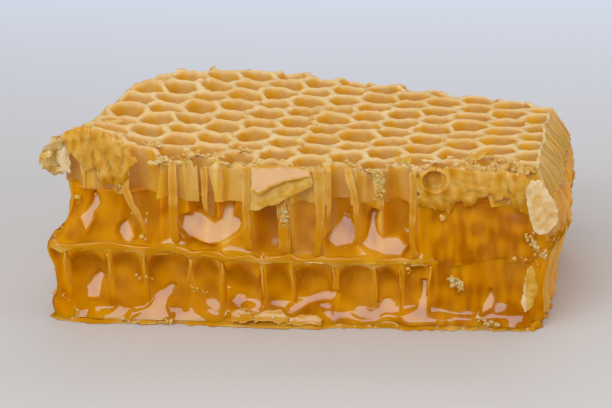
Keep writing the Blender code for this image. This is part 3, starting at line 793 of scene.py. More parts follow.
def curtain(name, depths, heights, attributes, stands_for, bulge_top=None, cap_rows=12):
    """A closed body of honey inside the path of the cuts. Its side is the path moved in by a depth at each
    height, listed from the foot up. Its foot and its top are the side's end rows drawn in to the middle,
    the top by the sine of even steps. Each attribute comes with its value on the top."""
    rows, count = depths.shape
    plan = path[None] - depths[..., None] * normals[None]
    side = np.concatenate([plan, np.broadcast_to(heights, (rows, count))[..., None]], axis=2)
    shares = np.sin(np.linspace(0.0, 0.5 * np.pi, cap_rows + 1))[::-1][1:]
    shares[-1] = CAP_SHARE
    top = CAP_MIDDLE + shares[:, None, None] * (plan[-1] - CAP_MIDDLE)
    top_z = np.broadcast_to(side[-1, :, 2], (cap_rows, count)).copy()
    if bulge_top is not None:
        top_z += bulge_top(top)
    foot_shares = np.array([CAP_SHARE, 0.35, 0.7])[:, None, None]
    foot = CAP_MIDDLE + foot_shares * (plan[0] - CAP_MIDDLE)
    foot_z = np.broadcast_to(side[0, :, 2], (3, count))
    grid = np.concatenate([
        np.concatenate([foot, foot_z[..., None]], axis=2), side,
        np.concatenate([top, top_z[..., None]], axis=2),
    ])
    spread = {
        key: np.concatenate([np.full((3, count), values[0].mean()), values, np.full((cap_rows, count), cap)])
        for key, (values, cap) in attributes.items()
    }
    piece(name, settle(grid.reshape(-1, 3)), grid_faces(len(grid), count), "honey", stands_for, spread,
          crease=55.0, merge=0.004)


def sunk(channel_depth, way):
    """Channel depths at each row, blurred along the cut more and more with the way down."""
    levels = np.stack([blurred(channel_depth, reach) for reach in (0.2, 0.42, 0.9)])
    place = np.clip(way, 0.0, 1.0) * 2.0
    low = np.minimum(place.astype(int), 1)
    share = place - low
    return levels[low] * (1.0 - share)[:, None] + levels[low + 1] * share[:, None]


# The cut walls that stand free on the front above the midrib: place, height and half a width along each
FRONT_RIBS = (
    ((-22.3, 24.6, 0.5), (-22.5, 21.1, 0.7), (-22.6, 17.7, 0.6), (-21.9, 15.7, 0.5), (-20.9, 14.0, 0.4),
     (-20.3, 12.7, 0.3), (-20.4, 10.9, 0.25)),
    ((-16.2, 22.9, 0.5), (-16.3, 19.2, 0.7), (-16.4, 15.8, 0.65), (-16.4, 13.1, 0.55), (-16.2, 10.6, 0.4)),
    ((-12.2, 21.9, 0.6), (-12.1, 19.2, 0.55), (-12.2, 16.5, 0.4), (-12.1, 14.7, 0.2)),
    ((-9.9, 21.2, 0.25), (-9.8, 18.5, 0.2), (-9.9, 16.6, 0.1)),
    ((-6.6, 21.3, 0.7), (-6.6, 17.9, 0.75), (-6.8, 15.0, 0.6), (-6.7, 11.9, 0.5), (-6.6, 9.8, 0.6)),
    ((-2.7, 19.6, 0.4), (-2.5, 16.7, 0.6), (-2.1, 15.1, 0.8), (-2.0, 12.7, 0.8), (-2.0, 9.4, 0.8)),
    ((-1.15, 17.3, 0.1), (-1.2, 13.4, 0.14), (-1.3, 9.3, 0.14)),
    ((2.8, 20.9, 1.0), (2.8, 18.1, 0.95), (2.9, 15.4, 0.7), (2.7, 12.5, 0.5), (2.2, 9.0, 0.4)),
    ((4.0, 20.8, 0.4), (4.0, 18.1, 0.4), (3.9, 15.2, 0.3), (3.7, 13.6, 0.15)),
    ((6.5, 20.8, 0.7), (6.8, 18.8, 0.6), (7.4, 17.2, 0.45), (7.5, 14.1, 0.35), (7.4, 10.8, 0.3)),
    ((10.5, 20.9, 0.7), (10.3, 18.8, 0.7), (10.4, 16.8, 0.4), (10.5, 15.2, 0.1)),
    ((14.8, 21.1, 0.7), (14.9, 18.2, 0.6), (14.7, 14.9, 0.5), (14.5, 11.6, 0.4), (15.0, 8.9, 0.5)),
)

right_side = soft_step(path[:, 0], 27.6, 28.6) * soft_step(path[:, 1], -22.0, -19.0)
ridges = right_side * 0.16 * (1.0 + wander(path, 1.5, 47))


# Where the honey slopes evenly out of a cell, like a foot or a boot: outlines on the front cut
SLOPES_ABOVE = (
    ((-26.9, 17.6), (-26.3, 16.6), (-26.1, 15.7), (-27.1, 14.8), (-27.1, 13.6), (-28.0, 12.2), (-28.9, 14.0),
     (-28.0, 14.8), (-27.2, 16.1)),
    ((-23.2, 13.4), (-22.4, 12.5), (-21.9, 11.2), (-22.4, 10.8), (-23.4, 10.8), (-24.1, 11.8), (-23.9, 12.8)),
    ((-16.4, 13.5), (-15.6, 14.0), (-14.3, 14.5), (-13.0, 14.3), (-12.1, 13.6), (-11.2, 13.1), (-10.5, 13.8),
     (-10.2, 14.8), (-10.2, 16.1), (-9.5, 16.8), (-8.7, 16.9), (-8.7, 15.9), (-8.9, 15.0), (-8.9, 14.1),
     (-7.9, 13.7), (-7.7, 13.0), (-8.2, 12.2), (-9.5, 11.3), (-11.5, 10.5), (-13.1, 10.8), (-15.0, 11.7),
     (-16.0, 12.6)),
    ((5.3, 13.8), (6.6, 13.1), (7.2, 11.8), (6.6, 10.4), (4.6, 10.0), (3.5, 10.5), (3.1, 11.2), (4.1, 12.4)),
    ((9.4, 15.2), (10.0, 15.1), (9.6, 13.8), (9.9, 12.5), (10.6, 11.6), (12.7, 11.8), (13.8, 10.6),
     (13.0, 9.3), (10.7, 9.6), (8.9, 10.1), (7.8, 10.7), (8.6, 11.9), (8.9, 13.4), (9.1, 14.7)),
)
SLOPES_BELOW = (
    ((-26.9, 6.5), (-26.2, 6.1), (-26.8, 4.7), (-26.9, 3.1), (-28.5, 3.1), (-28.6, 4.4), (-27.8, 5.8)),
    ((-17.3, 5.1), (-16.7, 4.9), (-17.8, 3.1), (-18.0, 2.0), (-17.4, 0.9), (-18.7, 0.4), (-21.2, 0.4),
     (-22.5, 0.6), (-21.3, 1.3), (-19.9, 2.3), (-18.9, 3.9)),
    ((-24.4, 1.9), (-22.5, 2.0), (-23.6, 0.9), (-23.8, 0.3), (-24.9, 0.3), (-25.8, 0.6)),
    ((-16.4, 1.7), (-14.3, 1.7), (-12.8, 1.0), (-12.0, 0.3), (-17.0, 0.3), (-16.6, 0.9)),
    ((-1.6, 2.5), (0.7, 3.5), (2.0, 4.2), (3.4, 4.5), (4.9, 4.5), (3.9, 3.4), (2.5, 3.3), (1.0, 2.9),
     (-0.7, 1.9), (-1.5, 2.0)),
    ((7.3, 2.6), (8.1, 2.5), (9.0, 2.0), (10.0, 2.5), (10.7, 3.7), (11.5, 3.8), (12.0, 3.3), (11.0, 2.2),
     (9.6, 1.4), (7.6, 1.4), (7.0, 1.7)),
    ((-8.4, 4.1), (-7.3, 3.8), (-8.6, 2.5), (-9.0, 2.9)),
    ((15.5, 6.1), (16.1, 6.2), (16.2, 4.4), (16.4, 1.7), (17.7, 1.4), (17.4, 0.9), (15.2, 0.8), (12.9, 1.6),
     (13.8, 1.9), (15.1, 2.6), (15.6, 4.5)),
    ((24.4, 5.2), (24.8, 4.3), (24.7, 2.8), (23.2, 2.0), (23.6, 3.2), (24.1, 4.5)),
)
SLOPE = math.tan(math.radians(24.2))  # the slope that shows the softbox


def with_slopes(depth, z, outlines):
    """Depths, with an even slope inside each outline: its mean place there plus SLOPE times the height over
    its middle, crossed over to the rest within half a millimetre."""
    at = settle(along_path(z, len(depth)))
    places = np.stack([at[..., 0] + PLAN_MIDDLE[0], at[..., 2]], axis=-1)
    depth = depth.copy()
    for corners in outlines:
        outline = np.array(corners)
        low, high = outline.min(axis=0) - 0.5, outline.max(axis=0) + 0.5
        near = ((places > low) & (places < high)).all(axis=2) & on_front_cut[None]
        inside = to_cut(places[near], outline)[2]
        share = soft_step(inside, -0.40, 0.06)
        height, back = places[near][:, 1], at[..., 1][near]
        middle = ((share * height).sum() / share.sum(), (share * (back + depth[near])).sum() / share.sum())
        even = middle[1] + SLOPE * (height - middle[0]) - back
        depth[near] += share * (even - depth[near])
    return depth


# The empty cell in the middle of the front, and the half-empty one beside it: where they lie, and how full
FRONT_FILLS = ((-1.3, 3.1, 0.0), (-5.9, -1.6, 0.35))


def make_upper_honey():
    """The upper honey stands in each cut cell, and flows out to the cut over the midrib:
    depth = channel depth times 1 - way^5, where way runs from 0 at the level to 1 at the midrib. An empty
    cell keeps its depth further down. Under the smears the honey lies 0.35 behind the cut with slow lumps,
    and on the right it hangs down in front of the midrib."""
    rows = 56
    up = np.linspace(0.0, 1.0, rows)
    way = (1.0 - up)[:, None]
    high, low = HONEY_LEVEL, MIDRIB_TOP - 0.35
    joined = lower.smeared[None]
    z = low - COVERED_REACH * joined + up[:, None] * (high - low + COVERED_REACH * joined)
    fill = 0.75 + 0.35 * upper.chance
    for start, end, amount in FRONT_FILLS:
        there = (path[:, 0] > start) & (path[:, 0] < end) & on_front_cut
        fill = np.where(there, amount, fill)
    fill = np.clip(blurred(fill, 0.15), 0.0, 1.0)[None]
    base = sunk(upper.depth, 1.0 - up)
    hang = 1.0 - way**5.0
    drawn_out = soft_step(way, 0.86, 1.0)
    depth = base * (fill * hang + (1.0 - fill) * (1.0 - drawn_out))
    at = along_path(z, rows)
    open_share = 1.0 - upper.smeared[None]
    smeared_depth = 0.35 + (0.14 * wander(at, 6.0, 41) + 0.03 * wander(at, 2.6, 42))
    depth = depth * open_share + smeared_depth * upper.smeared[None]
    film = np.exp(-(((at[..., 0] - 26.0) / 3.2) ** 2) - ((z - 13.6) / 2.2) ** 2) * on_front_cut[None]
    depth += 0.05 * wander(at, 4.5, 43) - 0.17 * (1.0 - joined) * soft_step(way, 0.7, 1.0)
    depth += 0.35 * joined * soft_step(way, 0.86, 1.0)
    depth = with_slopes(np.maximum(depth, -0.45) + ridges[None], z, SLOPES_ABOVE)
    near_wall = bell(blurred(upper.depth, 0.1), 0.5)
    rib_places = np.array([line[len(line) // 2][0] for line in FRONT_RIBS])
    from_rib = np.abs(path[:, :1] - rib_places).min(axis=1)
    near_wall = np.where(on_front_cut, bell(from_rib, 0.5), near_wall)[None]
    wax = near_wall * (1.0 - 0.75 * soft_step(way, 0.35, 0.95)) * open_share
    empty = (1.0 - fill) * (1.0 - drawn_out) * open_share
    # The back walls of empty cells get a slightly darker honey colour: painted shade inside the open cell.
    honey = np.clip(0.80 - 0.75 * wax + 0.08 * empty * (1.0 - wax) + 0.07 * wander(at, 3.0, 44), 0.0, 1.0)
    streaks = 0.15 + 0.05 * wander(at * [1, 1, 0.25], 1.3, 48)
    honey += joined * streaks + 0.06 * (upper.smeared[None] - joined)
    honey -= 0.16 * (1.0 - joined) * soft_step(way, 0.8, 1.0) + 0.1 * film
    honey -= 0.75 * right_side[None] * (1.0 + 0.3 * wander(at * [1, 1, 0.2], 1.5, 46))
    honey = np.clip(honey, 0.0, 1.0)
    dry = np.maximum(np.maximum(0.5 * wax, empty), np.maximum(0.8 * right_side[None], 0.5 * film))

    def level_bumps(top):
        """The slow waves of the honey's level."""
        return 0.06 * wander(top, 4.0, 45)

    curtain("honey_above", depth, z, {"honey": (honey, 0.62), "dry": (dry, 0.0)}, ("honey_upper",),
            level_bumps)


def make_lower_honey():
    """The lower honey is sunk in most under the arch of each cell, and swells out again at the foot:
    depth = channel depth, times the arch, times (1 - fill * way)^1.3, with way from 0 at the midrib to 1
    below. On the right of the front it is one smooth face that draws back under the upper honey."""
    rows = 60
    up = np.linspace(0.0, 1.0, rows)
    way = (1.0 - up)[:, None]
    high, low = LOWER_TOP + 0.7, CAPPINGS_TOP * 0.6
    z = (low + up * (high - low))[:, None]
    base = sunk(lower.depth, 0.15 + 0.85 * (1.0 - up))
    tilt = np.clip(lower.across + 0.5 * (lower.chance - 0.5), -1.0, 1.0)
    rounding = 1.0 - np.sqrt(np.clip(1.0 - tilt**2, 0.0, 1.0))
    arch_start = blurred(-0.05 + 0.10 * lower.chance + 0.20 * rounding, 0.15)[None]
    arch = soft_step(way, arch_start, arch_start + 0.14 + 0.2 * blurred(np.roll(lower.chance, 9), 0.4)[None])
    fill = (0.55 + 0.5 * lower.chance)[None]
    kept = 0.45 + 0.45 * np.clip(wander(np.column_stack([path, path * 0.0]), 9.0, 55), -1.0, 1.0)[None]
    base = base * kept + (1.0 - kept) * blurred(np.minimum(lower.depth, 1.2), 1.6)[None]
    joined = lower.smeared[None]
    flare = soft_step(-way, -0.98, -0.55)
    depth = np.minimum(base, 1.9) * arch * (1.0 - fill * way) ** 1.3 * (1.0 - 0.85 * joined)
    depth = (depth + 0.30 * joined) * flare + 0.42 * joined * soft_step(-way, -0.34, 0.0)
    at = along_path(z, rows)
    swell = soft_step(way, 0.6, 0.92)
    depth += 0.05 * wander(at, 4.5, 51) - 0.10 * (1.0 - joined) * soft_step(-way, -0.12, -0.02)
    depth += swell * (0.22 * wander(at, 4.5, 52) - 0.25)
    depth += 0.06 * joined * wander(at, 3.5, 53)
    depth = with_slopes(np.maximum(depth, -0.7) + ridges[None], z, SLOPES_BELOW)
    near_wall = bell(blurred(lower.depth, 0.1), 0.45)[None]
    wax = near_wall * (1.0 - soft_step(way, 0.25, 0.85)) * (1.0 - lower.smeared[None])
    # Darker honey just under the arch of each cell: partly the deeper honey there, and partly painted shade
    # of the recess.
    arch_depth_shade = bell(way - arch_start - 0.16, 0.16) * (lower.depth > 0.2)[None] * (1.0 - joined)
    honey = 0.88 - 0.40 * wax + 0.13 * arch_depth_shade + 0.05 * wander(at, 3.0, 54)
    honey += joined * (0.04 + 0.05 * wander(at * [1, 1, 0.25], 1.3, 57))
    honey -= 0.80 * right_side[None] * (1.0 + 0.3 * wander(at * [1, 1, 0.2], 1.5, 56))
    low_corner = np.exp(-(((path[None, :, 0] - 27.6) / 1.6) ** 2) - ((z - 1.6) / 1.4) ** 2)
    honey = np.clip(honey + 0.2 * (low_corner * on_front_cut[None]), 0.0, 1.0)
    dry = np.maximum(0.2 * wax, 0.8 * right_side[None])
    curtain("honey_below", depth, z, {"honey": (honey, 0.8), "dry": (dry, 0.0)}, ("honey_lower",))


# --- Wax at the cuts ---


def tube(along, across, outward, half_width, half_thickness, sides=10):
    """Rounded-off rectangles carried along a way: each is across*width*cos^0.7 + outward*thickness*sin^0.7
    of an angle, with their signs. along, across and outward are (strips, stations, 3), and the last three
    stations at both ends round off to a point."""
    angles = np.arange(sides) * 2.0 * np.pi / sides
    cosine, sine = (np.sign(wave) * np.abs(wave) ** 0.7 for wave in (np.cos(angles), np.sin(angles)))
    station = np.arange(along.shape[1])
    from_end = np.minimum(np.minimum(station, station[::-1]) / 3.0, 1.0)
    ends = np.maximum(np.sqrt(1.0 - (1.0 - from_end) ** 2), 0.02)
    width = (half_width * ends)[..., None, None] * cosine[:, None]
    thickness = (half_thickness * ends)[..., None, None] * sine[:, None]
    rings = along[:, :, None] + width * across[:, :, None] + thickness * outward[:, :, None]
    strips, stations = along.shape[:2]
    return rings.reshape(-1, 3), repeated(grid_faces(stations, sides), strips, stations * sides)


def on_line(x, z, out):
    """A ribbon's line on the front, with the way across it and the way outwards at each of its points.
    Across is outwards crossed with the way down the line."""
    along = on_front(x, z, out)
    down = np.gradient(along, axis=-2)
    down /= np.linalg.norm(down, axis=-1, keepdims=True)
    outward = np.broadcast_to(np.array([0.0, -1.0, 0.0]), along.shape)
    return along, np.cross(outward, down), outward


def at_steps(values, steps):
    """Values along the path, read at any fraction of its steps."""
    low = np.floor(steps).astype(int)
    share = (steps - low)[..., None] if values.ndim > 1 else steps - low
    return values[low % len(path)] * (1.0 - share) + values[(low + 1) % len(path)] * share


def make_cut_walls(name, channels, high, low, seed, half_width, half_thickness, stands_out, taper,
                   skip_front):
    """The cut edges of the cell walls: thin upright ribbons that wander along the cut from high to low.

    high is the height of their tops and the function that says how far those stray. taper is the range of
    the share of the way down that they go."""
    random = np.random.default_rng(seed)
    walls = channels.walls[channels.smeared[channels.walls.astype(int)] < 0.5]
    facing = normals[walls.astype(int) % len(path)]
    at_corner = (facing[:, 0] < -0.5) & (path[walls.astype(int) % len(path), 1] < -17.0)
    walls = walls[~((facing[:, 1] < -0.8) & skip_front) & (facing[:, 0] < 0.8) & ~at_corner].astype(float)
    stations = 48
    way = np.linspace(0.0, 1.0, stations)[None]
    reach = random.uniform(*taper, (len(walls), 1))
    z = high[0] + (low - high[0]) * way * reach
    keys = np.stack([np.broadcast_to(walls[:, None], z.shape) * STEP, z], axis=-1)
    steps = walls[:, None] + (0.12 * wander(keys, 6.0, seed) + 0.025 * wander(keys, 1.5, seed + 1)) / STEP
    plan = at_steps(path, steps)
    outward = at_steps(normals, steps)
    outward /= np.linalg.norm(outward, axis=-1, keepdims=True)
    top = high[1](plan[..., 0], plan[..., 1]) - droop(0.0 * z, outward, plan) if high[1] else 0.0
    z = z + top * (1.0 - way * reach)
    out = stands_out * (1.0 + 0.3 * wander(keys, 3.0, seed + 2)) - 0.4 * soft_step(way, 0.8, 1.0)
    centre = np.concatenate([plan + out[..., None] * outward, z[..., None]], axis=-1)
    across = np.stack([-outward[..., 1], outward[..., 0], np.zeros(z.shape)], axis=-1)
    facing = np.concatenate([outward, np.zeros((*z.shape, 1))], axis=-1)
    widths = half_width * random.uniform(0.75, 1.25, (len(walls), 1)) * (1.0 - 0.45 * way)
    uneven = 1.0 + 0.14 * wander(keys, 2.2, seed + 3) + 0.07 * wander(keys, 0.9, seed + 4)
    widths = widths * uneven.clip(0.5, 1.6)
    points, quads = tube(centre, across, facing, widths, half_thickness * np.ones_like(widths))
    soaked = np.broadcast_to(np.clip(0.3 + 0.9 * way * reach, 0.0, 1.0)[..., None], (*z.shape, 10))
    piece(name, settle(points), quads, "wet_wax", (), {"soaked": soaked})


def make_midrib():
    """The wavy cut edge of the wax wall between the layers: a rounded section carried round the path, that
    hangs where a lower wall meets it and stands up where an upper wall does. It stands further in on the
    right of the front, where honey covers it."""
    sides = 14
    angles = np.arange(sides) * 2.0 * np.pi / sides
    lower_wall = bell(blurred(lower.depth, 0.2), 0.6)
    upper_wall = bell(blurred(upper.depth, 0.2), 0.6) * (1.0 - upper.smeared)
    keys = np.column_stack([path, np.zeros(len(path))])
    middle = MIDRIB_MIDDLE + 0.20 + 0.12 * wander(keys, 6.0, 61) + 0.04 * wander(keys, 2.4, 62)
    below = 0.44 + 0.48 * blurred(lower_wall, 0.3) + 0.06 * wander(keys, 1.6, 63)
    above = 0.38 + 0.45 * blurred(upper_wall, 0.35) + 0.12 * wander(keys, 3.4, 64)
    proud = 0.01 + 0.07 * wander(keys, 3.5, 65)
    sine = np.sin(angles)[None]
    z = middle[:, None] + np.where(sine > 0.0, above[:, None], below[:, None]) * sine
    out = np.where(np.cos(angles) > 0.0, proud[:, None] + 0.1, 1.6) * np.cos(angles)[None]
    out = out - COVERED_REACH * lower.smeared[:, None]
    plan = path[:, None] + out[..., None] * normals[:, None]
    points = settle(np.concatenate([plan, z[..., None]], axis=2).reshape(-1, 3))
    soaked = 0.90 + 0.25 * wander(points, 5.0, 67) + 0.4 * np.tile(sine.ravel(), len(path))
    on_left = soft_step(-points[:, 0], 8.0, 18.0)
    soaked = np.clip(soaked + 0.3 * on_left, 0.0, 1.0)
    edge = np.tile(np.clip(-sine.ravel(), 0.0, 1.0) ** 2, len(path)) * (1.0 - 0.5 * on_left)
    quads = grid_faces(len(path), sides, wrap_rows=True)
    piece("midrib_edge", points, quads, "wet_wax", ("midrib",), {"soaked": soaked, "edge": edge})


def make_foot():
    """The lower cappings: a thin sheet that is flat below, with a torn, crumpled edge past the cuts."""
    keys = np.column_stack([path, np.zeros(len(path))])
    middle_of_front = bell(path[:, 0] + 3.0, 7.0) * on_front_cut
    torn = 0.40 + 0.28 * wander(keys, 3.2, 71) + 0.14 * wander(keys, 0.9, 72)
    torn = np.clip(torn, 0.08, 1.1) + 1.0 * blurred(middle_of_front, 1.5)
    lift = 0.35 + 0.12 * wander(keys, 2.8, 73)
    lift = np.clip(lift, 0.15, 0.7)
    inward = [CAP_SHARE, 0.3, 0.6, 0.85, 0.97]
    shrunk = [CAP_MIDDLE + share * (path - CAP_MIDDLE) for share in inward]
    rings = [np.column_stack([plan, np.zeros(len(path))]) for plan in shrunk]
    for out, rise in ((0.0, 0.0), (0.6, 0.0), (0.95, 0.1), (1.0, 0.35), (0.85, 0.6)):
        rings.append(np.column_stack([path + (out * torn)[:, None] * normals, rise * lift]))
    for out, rise in ((0.5, 0.75), (0.2, 1.15), (0.0, 1.8), (-0.12, 2.8), (-0.6, 2.8)):
        spread = np.where(out > 0.0, out * torn + 0.22 * (1.0 - out), 0.22 + out)
        rings.append(np.column_stack([path + spread[:, None] * normals, rise * lift]))
    rings += [np.column_stack([plan, np.full(len(path), 0.5)]) for plan in shrunk[::-1]]
    grid = np.array(rings)
    points = settle(grid.reshape(-1, 3))
    ring_soaked = np.ones(len(grid))
    ring_soaked[len(inward):len(inward) + 5] = (0.9, 0.8, 0.6, 0.5, 0.6)
    soaked = np.clip(np.repeat(ring_soaked, len(path)) + 0.3 * wander(points, 4.0, 74), 0.0, 1.0)
    piece("foot_wax", points, grid_faces(len(grid), len(path)), "wet_wax", ("cappings_lower",),
          {"soaked": soaked}, merge=0.004)


def make_front_ribs():
    """The cut cell walls of the upper front: smooth flat ribbons along the places that FRONT_RIBS gives."""
    stations = 44
    lines = np.stack([read_evenly(line, stations) for line in FRONT_RIBS])
    edge_x = path[FRONT_ORDER, 0]
    rim = settle(np.column_stack([path[FRONT_ORDER], RIM_TOP + rim_bumps(edge_x, path[FRONT_ORDER, 1])]))
    rim_above = np.interp(lines[..., 0], rim[:, 0] + PLAN_MIDDLE[0], rim[:, 2])
    lines[..., 1] = np.minimum(lines[..., 1], rim_above - 0.3)
    x = lines[..., 0] + 0.02 * wander(lines[..., :2], 2.0, 104)
    step = np.arange(stations)
    tucked = 0.35 * np.clip(1.0 - step / 6.0, 0.0, 1.0) ** 2
    tucked = tucked + 0.45 * np.clip(step / 8.0 - 35.0 / 8.0, 0.0, 1.0) ** 2
    along, across, outward = on_line(x, lines[..., 1] + 0.01 * (stations - step), -tucked)
    widths = 0.85 * lines[..., 2] * (1.0 + 0.05 * wander(lines[..., :2], 2.5, 103))
    widths = widths * (1.0 + 0.5 * np.clip(step / 6.0 - 37.0 / 6.0, 0.0, 1.0))
    sides = 20
    points, quads = tube(along, across, outward, widths, 0.16 * np.ones_like(widths), sides)
    height = np.broadcast_to(lines[..., 1, None], (*widths.shape, sides))
    soaked = 0.20 + 0.70 * soft_step(-height, -18.5, -11.5)
    angles = np.arange(sides) * 2.0 * np.pi / sides
    to_side = np.broadcast_to(np.abs(np.cos(angles)), height.shape)
    soaked = soaked + 0.35 * (1.0 - to_side) + 0.15 * wander(lines[..., :2], 2.5, 105)[..., None]
    soaked = np.clip(soaked, 0.0, 1.0)
    edge = to_side**2 * (0.35 + 0.65 * soft_step(height, 9.0, 16.0))
    piece("walls_front", points, quads, "wet_wax", (), {"soaked": soaked, "edge": edge})


def on_rims(count, y_reach, seed, x_range=(-30.0, 29.5)):
    """Random places on the rims near the front cut, within a reach that thins out backwards."""
    random = np.random.default_rng(seed)
    x = random.uniform(*x_range, 60 * count)
    y = FRONT_LEFT[1] + 0.1 + random.exponential(y_reach, 60 * count)
    distance = wall_distance(np.stack([x, y], axis=1), 0.0, UPPER_WALLS)
    chosen = np.flatnonzero((distance < 0.35) & (y < 12.0))[:count]
    x, y = x[chosen], y[chosen]
    on_cut, facing, inside = to_cut(np.stack([x, y], axis=1), ring)
    fallen = droop(inside, facing, on_cut)
    return settle(np.column_stack([x, y, RIM_TOP + rim_bumps(x, y) + 0.02 - fallen]))


def make_shavings(places):
    """Thin shavings of wax that the knife left lying over the rims: each a closed curved leaf, its height
    along the leaf bend*u^2 and its thickness going with the root of 1 - u^4 times the root of 1 - v^4."""
    random = np.random.default_rng(140)
    count, rows, columns = len(places), 7, 13
    u, v = np.meshgrid(np.linspace(-1.0, 1.0, columns), np.linspace(-1.0, 1.0, rows))
    turn = random.uniform(-0.7, 0.7, count)
    along = np.column_stack([np.cos(turn), np.sin(turn), random.uniform(-0.15, 0.15, count)])
    sideways = np.column_stack([-np.sin(turn), np.cos(turn), random.uniform(-0.1, 0.6, count)])
    half_long = random.uniform(0.5, 1.6, count)[:, None, None, None]
    half_wide = random.uniform(0.2, 0.5, count)[:, None, None, None]
    bend = random.uniform(-0.6, 0.5, count)[:, None, None]
    taper = np.sqrt(1.0 - 0.8 * u**2)[None, ..., None]
    flat = (places[:, None, None] + half_long * u[None, ..., None] * along[:, None, None]
            + half_wide * taper * v[None, ..., None] * sideways[:, None, None])
    flat = flat + 0.08 * np.stack([wander(flat, 1.0, 141 + k) for k in range(3)], axis=-1)
    half = 0.09 * np.sqrt((1.0 - u**4) * (1.0 - v**4))[None]
    faces = []
    for side in (1.0, -1.0):
        face = flat.copy()
        face[..., 2] += bend * u[None] ** 2 + side * half + 0.05
        faces.append(face.reshape(count, -1, 3))
    points = np.concatenate(faces, axis=1).reshape(-1, 3)
    quads = grid_faces(rows, columns, wrap_columns=False)
    quads = np.concatenate([quads, quads[:, ::-1] + rows * columns])
    quads = repeated(quads, count, 2 * rows * columns)
    pale = np.repeat(random.uniform(0.0, 0.55, count), 2 * rows * columns)
    piece("shavings", points, quads, "scrap_wax", (), {"pale": pale}, merge=0.001)


def some(value):
    """The same value everywhere."""
    return lambda flat: np.full(len(flat), value)


def streaked(mean, spread, seed, wet_from, wet_at):
    """A mean value with upright streaks, and 0.6 more from one height down to another."""
    def value(flat):
        streaks = spread * wander(flat * np.array([1.0, 0.45]), 1.3, seed)
        return np.clip(mean + streaks + 0.6 * soft_step(-flat[:, 1], -wet_from, -wet_at), 0.0, 1.0)
    return value


def even_slope(top, start):
    """Standing out by start at the height top, and below it more and more, at an even real slope."""
    def out(x, z):
        lean = on_front(x, z)[..., 1] - on_front(x, top + 0.0 * z)[..., 1]
        return start + SLOPE * (top - z) + lean
    return out


def rounded_slope(top, start):
    """Standing out by start at the height top, and below it by 0.2*fall + 0.25*fall^2 more."""
    def out(x, z):
        lean = on_front(x, z)[..., 1] - on_front(x, top + 0.0 * z)[..., 1]
        return start + 0.2 * (top - z) + 0.25 * (top - z) ** 2 + lean
    return out


def pale_rim(outline, inner, reach):
    """1 at the edge of an outline, and from this reach inwards the value inner, slightly mottled."""
    def pale(flat):
        within = soft_step(to_cut(flat, np.array(outline))[2], 0.1, reach)
        return np.clip(1.0 - (1.0 - inner) * within + 0.15 * within * wander(flat, 1.6, 176), 0.0, 1.0)
    return pale


